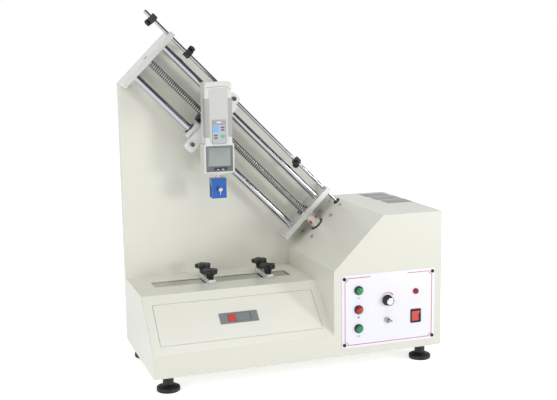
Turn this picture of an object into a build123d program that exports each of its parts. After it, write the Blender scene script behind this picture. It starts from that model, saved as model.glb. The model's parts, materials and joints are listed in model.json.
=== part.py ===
from build123d import *
from math import atan2, cos, pi, radians, sin, sqrt, tan
import os

# Benchtop 90 degree peel tester. While modelled, X runs right from the left wall, Y runs back
# from the front wall and Z runs up from the underside of the sheet metal body. All sizes in mm.

# Sheet metal body
BODY_WIDTH = 650.0
BODY_DEPTH = 300.0
SHEET = 2.0
BEND_RADIUS = 2.0
CABINET_WIDE = 256.0
CABINET_HEIGHT = 303.0
CABINET_LEFT = BODY_WIDTH - CABINET_WIDE
FACE_RISE = 114.5
FACE_START = CABINET_HEIGHT - FACE_RISE
DECK_DROP = 41.5
DECK_HEIGHT = FACE_START - DECK_DROP
DECK_DEEP = 193.0
DECK_SETBACK = BODY_DEPTH - DECK_DEEP
SKIRT_HEIGHT = DECK_HEIGHT / 3
PANEL_DEEP = 17.0
PANEL_FRONT = BODY_DEPTH - PANEL_DEEP

# Slide: two end plates, two guide rods and a lead screw, all at 45 degrees
SLIDE_MARGIN = 55.08
END_PLATE_THICK = 12.0
END_PLATE_DEEP = 56.0
FACE_GAP = 36.3
AXIS_UP_FACE = 81.0
AXIS_OFF_PANEL = 38.0
ROD_SPREAD = 45.0
STOP_FROM_ROD = 27.0
STOP_OFFSET = ROD_SPREAD + STOP_FROM_ROD
PLATE_PAST_STOP = 6.0
END_PLATE_LONG = 2 * (STOP_OFFSET + PLATE_PAST_STOP)
ROD_RADIUS = 8.0
ROD_SEAT = 6.0
SCREW_RADIUS = 8.0
JOURNAL_RADIUS = 5.0
RUNNING = 0.06
CLEAR = 0.4

# Bearings of the lead screw
UPPER_BEARING_RADIUS = 13.0
UPPER_BEARING_WIDE = 8.0
LOWER_BEARING_RADIUS = 11.0
FLANGE_RADIUS = 17.0
FLANGE_THICK = 3.0
FLANGE_SCREW_REACH = 9.5
JOURNAL_HOLE = 6.0

# Jaw coupling and gear motor
HUB_RADIUS = 12.5
HUB_LONG = 11.0
JAW_LONG = 9.0
JAW_ANGLE = 58.0
SPIDER_ANGLE = 30.0
SPIDER_BORE = 5.5
SPIDER_RING = 8.0
COUPLING_START = 3.0
MOTOR_SHAFT_DEPTH = 14.0
FACE_HOLE_RADIUS = 18.0
GEARHEAD_SIZE = 80.0
GEARHEAD_LONG = 40.0
MOTOR_RADIUS = 38.0
MOTOR_LONG = 82.0
FAN_CAP_LONG = 12.0
MOTOR_BOLT_SPACING = 66.5

# Stop rod with three thumb-screw collars, and the limit switches that it works
STOP_RADIUS = 4.0
STOP_ABOVE = 82.0
STOP_END = 81.0
CAM_RADIUS = 6.5
CAM_WIDE = 6.0
CAM_BACK = 5.0
STOP_FACE_HOLE = 6.5
COLLAR_SIZE = 15.0
COLLAR_LONG = 14.0
COLLAR_NECK = 2.0
COLLAR_HEAD_RADIUS = 7.5
COLLAR_HEAD_LONG = 9.0
COLLAR_FLUTES = 12
COLLAR_ABOVE = 58.0
COLLAR_UNDER = 50.0
COLLAR_LOW = 94.0
COLLAR_TURNS = (216.0, -16.0, 125.0)
SWITCH_LONG = 28.0
SWITCH_HIGH = 15.0
SWITCH_WIDE = 10.0
SWITCH_GAP = 7.2
SWITCH_START = 10.0
BRACKET_SCREW_UP = STOP_OFFSET - 6.0
BRACKET_SCREW_OUT = 32.0

# Carriage
CARRIAGE_SHARE = 0.624
BLOCK_LONG = 46.0
BLOCK_SIZE = 38.0
BUSHING_RADIUS = 14.0
NUT_BLOCK_LONG = 32.0
NUT_RADIUS = 14.0
NUT_FLANGE_RADIUS = ROD_SPREAD - 23.0
NUT_FLANGE_THICK = 10.0
NUT_TAIL = 6.0
CARRIER_WIDE = 26.0
CARRIER_THICK = 10.0
CARRIER_LOW = STOP_OFFSET + 14.0
CARRIER_HIGH = STOP_OFFSET + 7.0
CARRIER_CORNER = 6.0
CARRIER_SCREW_LOW = STOP_OFFSET - 2.0
CARRIER_SCREW_HIGH = STOP_OFFSET - 4.0
FINGER_WIDE = 15.0
FINGER_THICK = 8.0
FINGER_DEEP = 26.0
FINGER_HOLE = 4.8
EAR_DEEP = 14.0

# Force gauge, hung plumb on the carriage; its heights are measured from its foot
GAUGE_RIGHT = 1.5
GAUGE_DROP = 112.55
GAUGE_DEEP = 38.0
GAUGE_TALL = 200.0
GAUGE_HEAD_HIGH = 67.0
GAUGE_BODY_WIDE = 61.0
GAUGE_HEAD_WIDE = 69.0
GAUGE_CORNER = 6.0
GAUGE_EDGE = 2.5
GAUGE_PLINTH_WIDE = 31.0
GAUGE_PLINTH_DEEP = 24.0
GAUGE_PLINTH_HIGH = 3.5
GRIP_PAD_WIDE = 8.0
GRIP_PAD_UP = 82.0
GRIP_PAD_LONG = 76.0
GRIP_PAD_PROUD = 1.0
GRIP_PAD_SEAT = 3.0
SCREEN_WIDE = 61.0
SCREEN_HIGH = 57.0
SCREEN_THICK = 1.2
SCREEN_UP = 33.0
KEYPAD_WIDE = 31.5
KEYPAD_HIGH = 53.0
KEYPAD_THICK = 1.0
KEYPAD_UP = 92.0
KEY_WIDE = 9.5
KEY_HIGH = 6.5
KEY_PROUD = 0.5
KEY_PITCH_X = 15.0
KEY_PITCH_Z = 17.0
KEYS_UP = 88.0
SHAFT_RADIUS = 3.0
SHAFT_SEAT = 12.0
SHAFT_INTO_GRIP = 8.0
NUT_FLATS = 10.0
NUT_HIGH = 5.0
NUT_DROP = 3.0

# Peel grip
GRIP_DROP = 11.5
GRIP_HIGH = 44.0
GRIP_WIDE = 33.0
GRIP_DEEP = 24.0
GRIP_SLOT_HIGH = 29.0
GRIP_SLOT_DEEP = 9.5
GRIP_FRONT_WALL = 7.0
JAW_WIDE = 29.0
JAW_HIGH = 24.0
JAW_THICK = 3.2
JAW_STROKE = 4.5
GRIP_SCREW_RADIUS = 2.5
GRIP_SCREW_UP = 20.5
GRIP_HEAD_RADIUS = 4.8
GRIP_HEAD_LONG = 6.0

# Sample stage, clamp bars and star knobs
STAGE_LEFT = 44.0
STAGE_RIGHT = CABINET_LEFT - 36.0
STAGE_DEEP = 51.0
STAGE_BACK = PANEL_FRONT - 60.0
STAGE_FRONT = STAGE_BACK - STAGE_DEEP
STAGE_LIP = 11.0
STAGE_PLATE_THICK = 8.0
CLAMP_GAP = 134.5
CLAMP_RIGHT = CABINET_LEFT - 92.5
CLAMP_XS = (CLAMP_RIGHT - CLAMP_GAP, CLAMP_RIGHT)
CLAMP_STUD_SPAN = 60.0
BAR_WIDE = 16.0
BAR_HIGH = 10.0
BAR_LONG = 95.0
BAR_EDGE = 1.0
STUD_RADIUS = 4.0
STUD_ABOVE_BAR = 15.0
KNOB_RADIUS = 19.0
KNOB_CORE = 11.0
KNOB_LOBE = 5.0
KNOB_LOBES = 5
KNOB_HEAD_HIGH = 11.0
KNOB_HUB_HIGH = 11.0
KNOB_HUB_TOP = 9.5
KNOB_HUB_FOOT = 7.5

# Door in the sloping front and its flush latch, measured up the slope
DOOR_LEFT = 20.0
DOOR_WIDE = CABINET_LEFT - 2 * DOOR_LEFT
DOOR_START = 20.5
DOOR_END = 24.6
SLOPE_LONG = sqrt(DECK_SETBACK ** 2 + (DECK_HEIGHT - SKIRT_HEIGHT) ** 2)
DOOR_HIGH = SLOPE_LONG - DOOR_START - DOOR_END
DOOR_GAP = 0.8
DOOR_FLANGE = 8.0
DOOR_ROUND = 2.2
PIN_RADIUS = 1.2
LUG_WIDE = 6.0
LUG_HIGH = 9.0
LATCH_WIDE = 84.0
LATCH_HIGH = 26.0
LATCH_PROUD = 1.6
LATCH_DEPTH = 14.0
LATCH_WALL = 1.5
LATCH_BUTTON_START = 18.0
LATCH_BUTTON_WIDE = 17.0
LATCH_BUTTON_HIGH = 19.0
LATCH_BUTTON_THICK = 6.0
LATCH_BUTTON_PROUD = 1.0
LATCH_LEVER_WIDE = 31.5
LATCH_LEVER_HIGH = 19.0
LATCH_LEVER_THICK = 3.0
LATCH_BAR = 1.5
LATCH_PIN_RADIUS = 1.0
LATCH_PLAY = 0.4

# Control plate and what is set in it
PLATE_LEFT = CABINET_LEFT + 17.0
PLATE_WIDE = 222.0
PLATE_LOW = 16.5
PLATE_HIGH = 161.0
PLATE_THICK = 1.5
PLATE_SCREW_INSET_X = 6.0
PLATE_SCREW_INSET_Z = 7.5
BUTTON_COLUMN = PLATE_LEFT + 39.0
KNOB_COLUMN = PLATE_LEFT + 107.0
LAMP_COLUMN = PLATE_LEFT + 175.5
BUTTON_ROWS = (143.0, 100.5, 58.5)
BUTTON_NAMES = ("up_button", "stop_button", "down_button")
SPEED_KNOB_Z = 115.0
TOGGLE_Z = 70.0
LAMP_Z = 128.5
ROCKER_Z = 73.0
BEZEL_RADIUS = 9.8
BEZEL_PROUD = 4.5
BARREL_RADIUS = 8.9
BARREL_DEPTH = 24.0
BARREL_FLOOR = 3.0
CAP_RADIUS = 7.4
CAP_PLAY = 0.35
CAP_PROUD = 8.5
CAP_DEPTH = 12.0
CAP_DOME = 1.2
SPEED_KNOB_RADIUS = 12.0
SPEED_KNOB_TOP = 9.8
SPEED_KNOB_SKIRT = 3.0
SPEED_KNOB_REACH = 15.0
SPEED_KNOB_FLUTES = 16
SPEED_FLUTE_RADIUS = 0.9
SPEED_FLUTE_LONG = 9.0
KNOB_STANDOFF = 0.4
POT_SHAFT_RADIUS = 3.0
POT_BUSH_RADIUS = 4.5
POT_BODY_RADIUS = 12.0
POT_BODY_LONG = 10.0
TOGGLE_BUSH_RADIUS = 6.0
TOGGLE_BUSH_PROUD = 5.0
TOGGLE_NUT_FLATS = 14.0
TOGGLE_NUT_THICK = 2.5
TOGGLE_BALL = 2.6
TOGGLE_PIN_RADIUS = 0.8
TOGGLE_PIN_PROUD = 0.25
TOGGLE_LEVER_LONG = 13.0
TOGGLE_TIP_RADIUS = 2.6
TOGGLE_ROOT_RADIUS = 1.6
TOGGLE_LEAN = 25.0
TOGGLE_BODY_SIZE = (14.0, 20.0, 22.0)
LAMP_RADIUS = 5.5
LAMP_FLANGE_RADIUS = 6.8
LAMP_FLANGE = 1.5
LAMP_PROUD = 8.0
LAMP_DEPTH = 16.0
ROCKER_FRAME_WIDE = 25.0
ROCKER_FRAME_HIGH = 31.0
ROCKER_FRAME_PROUD = 2.5
ROCKER_BODY_WIDE = 21.6
ROCKER_BODY_HIGH = 28.0
ROCKER_DEPTH = 20.0
ROCKER_WIDE = 18.4
ROCKER_HALF = 11.6
ROCKER_HOLE_WIDE = 19.2
ROCKER_HOLE_HIGH = 25.4
ROCKER_FRONT = 3.4
ROCKER_DIP = 1.2
ROCKER_BACK = 4.0
ROCKER_LEAN = 8.0
ROCKER_PIVOT = 0.5
ROCKER_PIN_RADIUS = 1.5
ROCKER_PIN_PROUD = 0.3

# Back covers, mains inlet and what the cabinet holds
VENT_COUNT = 9
VENT_WIDE = 5.0
VENT_HIGH = 60.0
VENT_PITCH = 12.0
VENT_X = CABINET_LEFT + 76.0
VENT_Z = 150.0
COVER_SCREW_INSET = 9.0
INLET_X = BODY_WIDTH - 50.0
INLET_Z = 62.0
INLET_FLANGE_WIDE = 48.0
INLET_FLANGE_HIGH = 58.0
INLET_FLANGE_THICK = 3.0
INLET_BODY_WIDE = 30.0
INLET_BODY_HIGH = 46.0
INLET_DEPTH = 28.0
INLET_SOCKET_WIDE = 24.5
INLET_SOCKET_HIGH = 17.0
INLET_SOCKET_DEEP = 17.0
INLET_SOCKET_RISE = 9.0
FUSE_WIDE = 22.0
FUSE_HIGH = 10.0
FUSE_DROP = 15.0
FUSE_PROUD = 1.0
SUPPLY_SIZE = (100.0, 90.0, 38.0)
SUPPLY_AT = (CABINET_LEFT + 84.0, 60.0)
SUPPLY_SHELF = 12.0
BOARD_SIZE = (62.0, 120.0, 1.6)
BOARD_AT = (CABINET_LEFT + 11.0, 60.0)
BOARD_LEGS = 8.0
BOARD_LEG_RADIUS = 3.0
BOARD_LEG_INSET = 5.0

# Levelling feet
FOOT_HEIGHT = 36.0
FOOT_INSET_X = 36.0
FOOT_INSET_Y = 31.0
FOOT_PAD_RADIUS = 24.5
FOOT_PAD_THICK = 9.0
FOOT_DOME = 5.0
FOOT_BEVEL = 1.2
FOOT_NECK_RADIUS = 11.5
FOOT_NECK_GAP = 0.4
FOOT_STUD_RADIUS = 5.0
FOOT_STUD_ABOVE = 18.0
WELD_NUT_RADIUS = 9.0
WELD_NUT_HIGH = 9.0

# Screws
SMALL_SCREW = (1.5, 2.6, 1.6, 5.0)
PLATE_SCREW = (2.0, 3.8, 2.2, 6.0)
COVER_SCREW = (2.0, 4.0, 2.0, 6.0)
MOTOR_SCREW = (2.5, 4.2, 4.0, 14.0)
CAP_SCREW = (3.0, 5.0, 5.5, 14.0)
PANEL_BOLT = (2.0, 3.5, 4.0, 14.0)

# Places worked out from the sizes above
WALL_BACK = BODY_DEPTH - SHEET
SLOPE_ANGLE = atan2(DECK_HEIGHT - SKIRT_HEIGHT, DECK_SETBACK)
FACE_TOP_X = CABINET_LEFT + CABINET_HEIGHT - FACE_START
FACE_MIDDLE = (CABINET_LEFT + AXIS_UP_FACE / sqrt(2), FACE_START + AXIS_UP_FACE / sqrt(2))
AXIS_Y = PANEL_FRONT - AXIS_OFF_PANEL
FACE_AT = END_PLATE_THICK + FACE_GAP
SLIDE_START = (FACE_MIDDLE[0] - FACE_AT / sqrt(2), AXIS_Y, FACE_MIDDLE[1] + FACE_AT / sqrt(2))
SLIDE_CLEAR = (SLIDE_START[0] - SLIDE_MARGIN) * sqrt(2) - END_PLATE_THICK
STOP_TIP = SLIDE_CLEAR + STOP_ABOVE
COLLAR_PLACES = (SLIDE_CLEAR + COLLAR_ABOVE, SLIDE_CLEAR - COLLAR_UNDER, COLLAR_LOW)
CARRIAGE_AT = SLIDE_CLEAR * CARRIAGE_SHARE
GAUGE_X = SLIDE_START[0] - CARRIAGE_AT / sqrt(2) + GAUGE_RIGHT
GAUGE_FOOT = SLIDE_START[2] + CARRIAGE_AT / sqrt(2) - GAUGE_DROP
GAUGE_TOP = GAUGE_FOOT + GAUGE_TALL
GAUGE_NECK = GAUGE_FOOT + GAUGE_HEAD_HIGH
GRIP_PAD_LOW = GAUGE_FOOT + GRIP_PAD_UP
GRIP_PAD_HIGH = GRIP_PAD_LOW + GRIP_PAD_LONG
SCREEN_MIDDLE = GAUGE_FOOT + SCREEN_UP
KEYPAD_MIDDLE = GAUGE_FOOT + KEYPAD_UP
KEY_MIDDLE = GAUGE_FOOT + KEYS_UP
GRIP_TOP = GAUGE_FOOT - GRIP_DROP
GRIP_BOTTOM = GRIP_TOP - GRIP_HIGH
GRIP_SCREW_Z = GRIP_BOTTOM + GRIP_SCREW_UP
END_PLATE_FRONT = END_PLATE_DEEP - AXIS_OFF_PANEL
CARRIER_BACK = BLOCK_SIZE / 2
CARRIER_FRONT = CARRIER_BACK + CARRIER_THICK
GAUGE_BACK_Y = AXIS_Y - CARRIER_FRONT
GAUGE_FRONT_Y = GAUGE_BACK_Y - GAUGE_DEEP
GAUGE_SPLIT_Y = GAUGE_BACK_Y - GAUGE_DEEP / 2
GRIP_BACK_Y = GAUGE_SPLIT_Y + GRIP_DEEP / 2
GRIP_FRONT_Y = GAUGE_SPLIT_Y - GRIP_DEEP / 2
STAGE_MIDDLE_Y = (STAGE_FRONT + STAGE_BACK) / 2
STUD_YS = (STAGE_MIDDLE_Y - CLAMP_STUD_SPAN / 2, STAGE_MIDDLE_Y + CLAMP_STUD_SPAN / 2)
BAR_TOP = DECK_HEIGHT + BAR_HIGH
PLATE_FRONT = -PLATE_THICK
HUB_START = END_PLATE_THICK + COUPLING_START
JAW_START = HUB_START + HUB_LONG
FAR_HUB_START = JAW_START + JAW_LONG
FAR_HUB_END = FAR_HUB_START + HUB_LONG
FACE_BACK = FACE_AT + SHEET
FRONT_REACH = PLATE_THICK + SPEED_KNOB_REACH
REAR_REACH = INLET_FLANGE_THICK
ORIGIN_X = BODY_WIDTH / 2
ORIGIN_Y = (BODY_DEPTH + REAR_REACH - FRONT_REACH) / 2
FOOT_PLACES = {
    "foot_front_left": (FOOT_INSET_X, FOOT_INSET_Y),
    "foot_front_right": (BODY_WIDTH - FOOT_INSET_X, FOOT_INSET_Y),
    "foot_back_left": (FOOT_INSET_X, BODY_DEPTH - FOOT_INSET_Y),
    "foot_back_right": (BODY_WIDTH - FOOT_INSET_X, BODY_DEPTH - FOOT_INSET_Y),
}

# Working planes. On the slide, local X runs down the rods from the lower end plate's inner
# face, local Y runs up across them and local Z comes forward. On the slope, local Y runs up it.
SLIDE = Plane(origin=SLIDE_START, x_dir=(1, 0, -1), z_dir=(0, -1, 0))
SLOPE = Plane(origin=(0, 0, SKIRT_HEIGHT), x_dir=(1, 0, 0),
              z_dir=(0, -sin(SLOPE_ANGLE), cos(SLOPE_ANGLE)))


# Plain shapes
def block(x0, x1, y0, y1, z0, z1):
    middle = Pos((x0 + x1) / 2, (y0 + y1) / 2, (z0 + z1) / 2)
    return middle * Box(x1 - x0, y1 - y0, z1 - z0)


def bar_x(y, z, x0, x1, radius):
    return Pos((x0 + x1) / 2, y, z) * Rot(0, 90, 0) * Cylinder(radius, x1 - x0)


def bar_y(x, z, y0, y1, radius):
    return Pos(x, (y0 + y1) / 2, z) * Rot(90, 0, 0) * Cylinder(radius, y1 - y0)


def bar_z(x, y, z0, z1, radius):
    return Pos(x, y, (z0 + z1) / 2) * Cylinder(radius, z1 - z0)


def side_prism(outline, x0, x1):
    face = make_face(Polyline([(x0, y, z) for y, z in outline], close=True))
    return extrude(face, amount=x1 - x0, dir=(1, 0, 0))


def front_prism(outline, y0, y1):
    face = make_face(Polyline([(x, y0, z) for x, z in outline], close=True))
    return extrude(face, amount=y1 - y0, dir=(0, 1, 0))


def hexagon_z(x, y, z0, z1, flats):
    return Pos(x, y, z0) * extrude(RegularPolygon(flats / 2, 6, major_radius=False), amount=z1 - z0)


def screw(size):
    shank, head, head_high, length = size
    return Pos(0, 0, head_high / 2) * Cylinder(head, head_high) + bar_z(0, 0, -length, 0, shank)


def wedge(angle, span, reach, x0, x1):
    start = radians(angle - span / 2)
    middle = radians(angle)
    stop = radians(angle + span / 2)
    corners = [(x0, 0, 0)]
    for turn in (start, middle, stop):
        corners.append((x0, reach * cos(turn), reach * sin(turn)))
    return extrude(make_face(Polyline(corners, close=True)), amount=x1 - x0, dir=(1, 0, 0))


def group(solids):
    return Compound(list(solids))


# Outlines of the body
def base_outline():
    return [(0, 0), (0, SKIRT_HEIGHT), (DECK_SETBACK, DECK_HEIGHT), (WALL_BACK, DECK_HEIGHT), (WALL_BACK, 0)]


def cabinet_outline():
    return [(CABINET_LEFT, 0), (CABINET_LEFT, FACE_START), (FACE_TOP_X, CABINET_HEIGHT),
            (BODY_WIDTH, CABINET_HEIGHT), (BODY_WIDTH, 0)]


def panel_outline():
    # Up the left edge, up along the upper end plate, then down along the ends of both plates.
    across = (SLIDE_START[0] + SLIDE_START[2]) + END_PLATE_LONG / 2 * sqrt(2)
    along = (SLIDE_START[0] - SLIDE_START[2]) - (SLIDE_CLEAR + END_PLATE_THICK) * sqrt(2)
    face = CABINET_LEFT - FACE_START
    return [(0, DECK_HEIGHT), (0, -along), ((across + along) / 2, (across - along) / 2),
            ((across + face) / 2, (across - face) / 2), (CABINET_LEFT, FACE_START),
            (CABINET_LEFT, DECK_HEIGHT)]


# Sheet metal body
def base_housing():
    outer = side_prism(base_outline(), 0, CABINET_LEFT)
    bends = [edge for edge in outer.edges().filter_by(Axis.X) if edge.center().Z > 1
             and edge.center().Y < WALL_BACK - 1]
    left = [edge for edge in outer.edges() if edge.center().X < 0.01 and edge.center().Z > 1
            and edge.center().Y < WALL_BACK - 1]
    outer = fillet(bends + left, BEND_RADIUS)
    drop = SHEET / cos(SLOPE_ANGLE)
    rise = tan(SLOPE_ANGLE)
    knee = SKIRT_HEIGHT + SHEET * rise - drop
    brow = (DECK_HEIGHT - SHEET - SKIRT_HEIGHT + drop) / rise
    hollow = [(SHEET, -1), (SHEET, knee), (brow, DECK_HEIGHT - SHEET), (WALL_BACK + 1, DECK_HEIGHT - SHEET),
              (WALL_BACK + 1, -1)]
    shell = outer - side_prism(hollow, SHEET, CABINET_LEFT + 1)
    door_hole = SLOPE * block(DOOR_LEFT - DOOR_GAP, DOOR_LEFT + DOOR_WIDE + DOOR_GAP, DOOR_START - DOOR_GAP,
                              DOOR_START + DOOR_HIGH + DOOR_GAP, -4 * SHEET, SHEET)
    stage_hole = block(STAGE_LEFT, STAGE_RIGHT, STAGE_FRONT, STAGE_BACK, DECK_HEIGHT - 2 * SHEET,
                       DECK_HEIGHT + 1)
    shell = shell - door_hole - stage_hole
    for x in CLAMP_XS:
        for y in STUD_YS:
            shell = shell - bar_z(x, y, DECK_HEIGHT - 2 * SHEET, DECK_HEIGHT + 1, STUD_RADIUS)
    for lug in hinge_lugs():
        shell = shell + lug
    return shell


def control_cabinet():
    outer = front_prism(cabinet_outline(), 0, WALL_BACK)
    ridges = [edge for edge in outer.edges().filter_by(Axis.Y) if edge.center().Z > FACE_START + 1]
    rims = [edge for edge in outer.edges() if edge.center().Y < 0.01 and edge.center().Z > 1
            and edge.center().X > CABINET_LEFT + 1]
    outer = fillet(ridges + rims, BEND_RADIUS)
    inset = SHEET * tan(pi / 8)
    hollow = [(CABINET_LEFT + SHEET, -1), (CABINET_LEFT + SHEET, FACE_START - inset),
              (FACE_TOP_X + inset, CABINET_HEIGHT - SHEET), (BODY_WIDTH - SHEET, CABINET_HEIGHT - SHEET),
              (BODY_WIDTH - SHEET, -1)]
    shell = outer - front_prism(hollow, SHEET, WALL_BACK + 1) - bottom_plate_room()
    for z in BUTTON_ROWS:
        shell = shell - bar_y(BUTTON_COLUMN, z, -1, 2 * SHEET, BARREL_RADIUS)
    shell = shell - bar_y(KNOB_COLUMN, SPEED_KNOB_Z, -1, 2 * SHEET, POT_BUSH_RADIUS)
    shell = shell - bar_y(KNOB_COLUMN, TOGGLE_Z, -1, 2 * SHEET, TOGGLE_BUSH_RADIUS)
    shell = shell - bar_y(LAMP_COLUMN, LAMP_Z, -1, 2 * SHEET, LAMP_RADIUS)
    shell = shell - rocker_body_room(-1, 2 * SHEET)
    for x, z in plate_screw_places():
        shell = shell - bar_y(x, z, -1, 2 * SHEET, PLATE_SCREW[0])
    cuts = [bar_x(0, 0, FACE_AT - 1, FACE_BACK + 1, FACE_HOLE_RADIUS),
            bar_x(STOP_OFFSET, 0, FACE_AT - 1, FACE_BACK + 1, STOP_FACE_HOLE)]
    for up, out in motor_bolt_places():
        cuts.append(bar_x(up, out, FACE_AT - 1, FACE_BACK + 1, MOTOR_SCREW[0]))
    for out in (-BRACKET_SCREW_OUT, BRACKET_SCREW_OUT):
        cuts.append(bar_x(BRACKET_SCREW_UP, out, FACE_AT - 1, FACE_BACK + 1, PLATE_SCREW[0]))
    for cut in cuts:
        shell = shell - SLIDE * cut
    return shell


def bottom_plate_room():
    return block(SHEET, BODY_WIDTH - SHEET, SHEET, WALL_BACK, -1, SHEET)


def tall_panel():
    face = make_face(Polyline([(x, PANEL_FRONT, z) for x, z in panel_outline()], close=True))
    outer = extrude(face, amount=WALL_BACK - PANEL_FRONT, dir=(0, 1, 0))
    rims = [edge for edge in outer.edges() if edge.center().Y < PANEL_FRONT + 0.01
            and (edge.center().Z > CABINET_HEIGHT or edge.center().X < 1)]
    outer = fillet(rims, BEND_RADIUS * 0.75)
    inner = offset(face, amount=-SHEET)
    hollow = Pos(0, SHEET, 0) * extrude(inner, amount=WALL_BACK - PANEL_FRONT, dir=(0, 1, 0))
    panel = outer - hollow
    for cut in panel_bolt_shapes(1):
        panel = panel - cut
    return panel


def panel_bolt_places():
    # Two bolts into the back of each end plate
    places = []
    for along in (-SLIDE_CLEAR - END_PLATE_THICK / 2, END_PLATE_THICK / 2):
        for up in (-END_PLATE_LONG / 3, END_PLATE_LONG / 3):
            places.append((along, up))
    return places


def panel_bolt_shapes(extra):
    shapes = []
    for along, up in panel_bolt_places():
        seat = SLIDE * Pos(along, up, -AXIS_OFF_PANEL - SHEET) * Rot(180, 0, 0)
        shank, head, head_high, length = PANEL_BOLT
        shapes.append(seat * bar_z(0, 0, -length, extra, shank))
    return shapes


def service_covers():
    bottom = block(SHEET, BODY_WIDTH - SHEET, SHEET, WALL_BACK, 0, SHEET)
    for x, y in FOOT_PLACES.values():
        bottom = bottom + bar_z(x, y, SHEET, SHEET + WELD_NUT_HIGH, WELD_NUT_RADIUS)
        bottom = bottom - bar_z(x, y, -1, SHEET + WELD_NUT_HIGH + 1, FOOT_STUD_RADIUS + RUNNING)
    body_back = [(0, 0), (0, DECK_HEIGHT)] + cabinet_outline()[1:]
    body_back.insert(2, (CABINET_LEFT, DECK_HEIGHT))
    back = front_prism(body_back, WALL_BACK, BODY_DEPTH)
    for number in range(VENT_COUNT):
        x = VENT_X + (number - (VENT_COUNT - 1) / 2) * VENT_PITCH
        slot = Rot(90, 0, 0) * SlotOverall(VENT_HIGH, VENT_WIDE, rotation=90)
        back = back - Pos(x, BODY_DEPTH + 1, VENT_Z) * extrude(slot, amount=2 * SHEET + 2, both=True)
    back = back - inlet_room(WALL_BACK - 1, BODY_DEPTH + 1)
    panel_back = front_prism(panel_outline(), WALL_BACK, BODY_DEPTH)
    for x, z in back_screw_places():
        hole = bar_y(x, z, WALL_BACK - 1, BODY_DEPTH + 1, COVER_SCREW[0])
        back = back - hole
        panel_back = panel_back - hole
    return group([bottom, back, panel_back])


def back_screw_places():
    inset = COVER_SCREW_INSET
    right = BODY_WIDTH - inset
    high = CABINET_HEIGHT - inset
    middle = BODY_WIDTH / 2
    places = [(inset, inset), (middle, inset), (right, inset), (right, high)]
    places += [(inset, DECK_HEIGHT - inset), (FACE_TOP_X + inset, high)]
    places += [(inset, DECK_HEIGHT + inset), (CABINET_LEFT - inset, DECK_HEIGHT + inset)]
    left_top = panel_outline()[1][1]
    apex_x, apex_z = panel_outline()[2]
    places += [(inset, left_top - inset), (apex_x, apex_z - 2 * inset)]
    return places


# Sample stage
def stage_plate():
    top = DECK_HEIGHT - SHEET
    plate = block(STAGE_LEFT - STAGE_LIP, STAGE_RIGHT + STAGE_LIP, STAGE_FRONT - STAGE_LIP,
                  STAGE_BACK + STAGE_LIP, top - STAGE_PLATE_THICK, top)
    for x in CLAMP_XS:
        for y in STUD_YS:
            plate = plate - bar_z(x, y, top - 2 * STAGE_PLATE_THICK, top + 1, STUD_RADIUS)
    return plate


def clamp_studs():
    low = DECK_HEIGHT - SHEET - STAGE_PLATE_THICK
    return [bar_z(x, y, low, BAR_TOP + STUD_ABOVE_BAR, STUD_RADIUS) for x in CLAMP_XS for y in STUD_YS]


def clamp_bar(x):
    bar = block(x - BAR_WIDE / 2, x + BAR_WIDE / 2, STAGE_MIDDLE_Y - BAR_LONG / 2,
                STAGE_MIDDLE_Y + BAR_LONG / 2, DECK_HEIGHT, BAR_TOP)
    bar = chamfer(bar.edges().group_by(Axis.Z)[-1], BAR_EDGE)
    for y in STUD_YS:
        bar = bar - bar_z(x, y, DECK_HEIGHT - 1, BAR_TOP + 1, STUD_RADIUS + CLEAR)
    return bar


def star_knob(x, y):
    hub = loft([Pos(0, 0, 0) * Circle(KNOB_HUB_FOOT), Pos(0, 0, KNOB_HUB_HIGH) * Circle(KNOB_HUB_TOP)])
    outline = Circle(KNOB_CORE)
    for number in range(KNOB_LOBES):
        angle = 360 * number / KNOB_LOBES
        reach = KNOB_RADIUS - KNOB_LOBE
        lobe = Pos(reach / 2, 0) * Rectangle(reach, 2 * KNOB_LOBE) + Pos(reach, 0) * Circle(KNOB_LOBE)
        outline = outline + Rot(0, 0, angle) * lobe
    head = Pos(0, 0, KNOB_HUB_HIGH) * extrude(outline, amount=KNOB_HEAD_HIGH)
    head = chamfer(head.edges().group_by(Axis.Z)[-1], BAR_EDGE)
    knob = hub + head
    knob = knob - bar_z(0, 0, -1, STUD_ABOVE_BAR + 2 * CLEAR, STUD_RADIUS + CLEAR)
    return Pos(x, y, BAR_TOP) * knob


# Slide
def end_plates():
    half = END_PLATE_LONG / 2
    plates = []
    for inner, outer in ((-SLIDE_CLEAR, -SLIDE_CLEAR - END_PLATE_THICK), (0, END_PLATE_THICK)):
        low = min(inner, outer)
        high = max(inner, outer)
        side = 1 if outer > inner else -1
        plate = block(low, high, -half, half, -AXIS_OFF_PANEL, END_PLATE_FRONT)
        for up in (-ROD_SPREAD, ROD_SPREAD):
            plate = plate - bar_x(up, 0, *sorted((inner - side, inner + side * ROD_SEAT)), ROD_RADIUS)
        plate = plate - bar_x(STOP_OFFSET, 0, low - 1, high + 1, STOP_RADIUS + RUNNING)
        if side > 0:
            plate = plate - bar_x(0, 0, low - 1, high + 1, LOWER_BEARING_RADIUS)
            for y, z in flange_screw_places():
                plate = plate - bar_x(y, z, low - 1, SMALL_SCREW[3] - FLANGE_THICK, SMALL_SCREW[0])
        else:
            plate = plate - bar_x(0, 0, inner - UPPER_BEARING_WIDE, inner + 1, UPPER_BEARING_RADIUS)
            plate = plate - bar_x(0, 0, low - 1, high + 1, JOURNAL_HOLE)
        plates.append(SLIDE * plate)
    for cut in panel_bolt_shapes(0):
        plates = [plate - cut for plate in plates]
    return group(plates)


def flange_screw_places():
    reach = FLANGE_SCREW_REACH
    return [(up, out) for up in (-reach, reach) for out in (-reach, reach)]


def guide_rods():
    low = -SLIDE_CLEAR - ROD_SEAT
    return group([SLIDE * bar_x(up, 0, low, ROD_SEAT, ROD_RADIUS) for up in (-ROD_SPREAD, ROD_SPREAD)])


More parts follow.
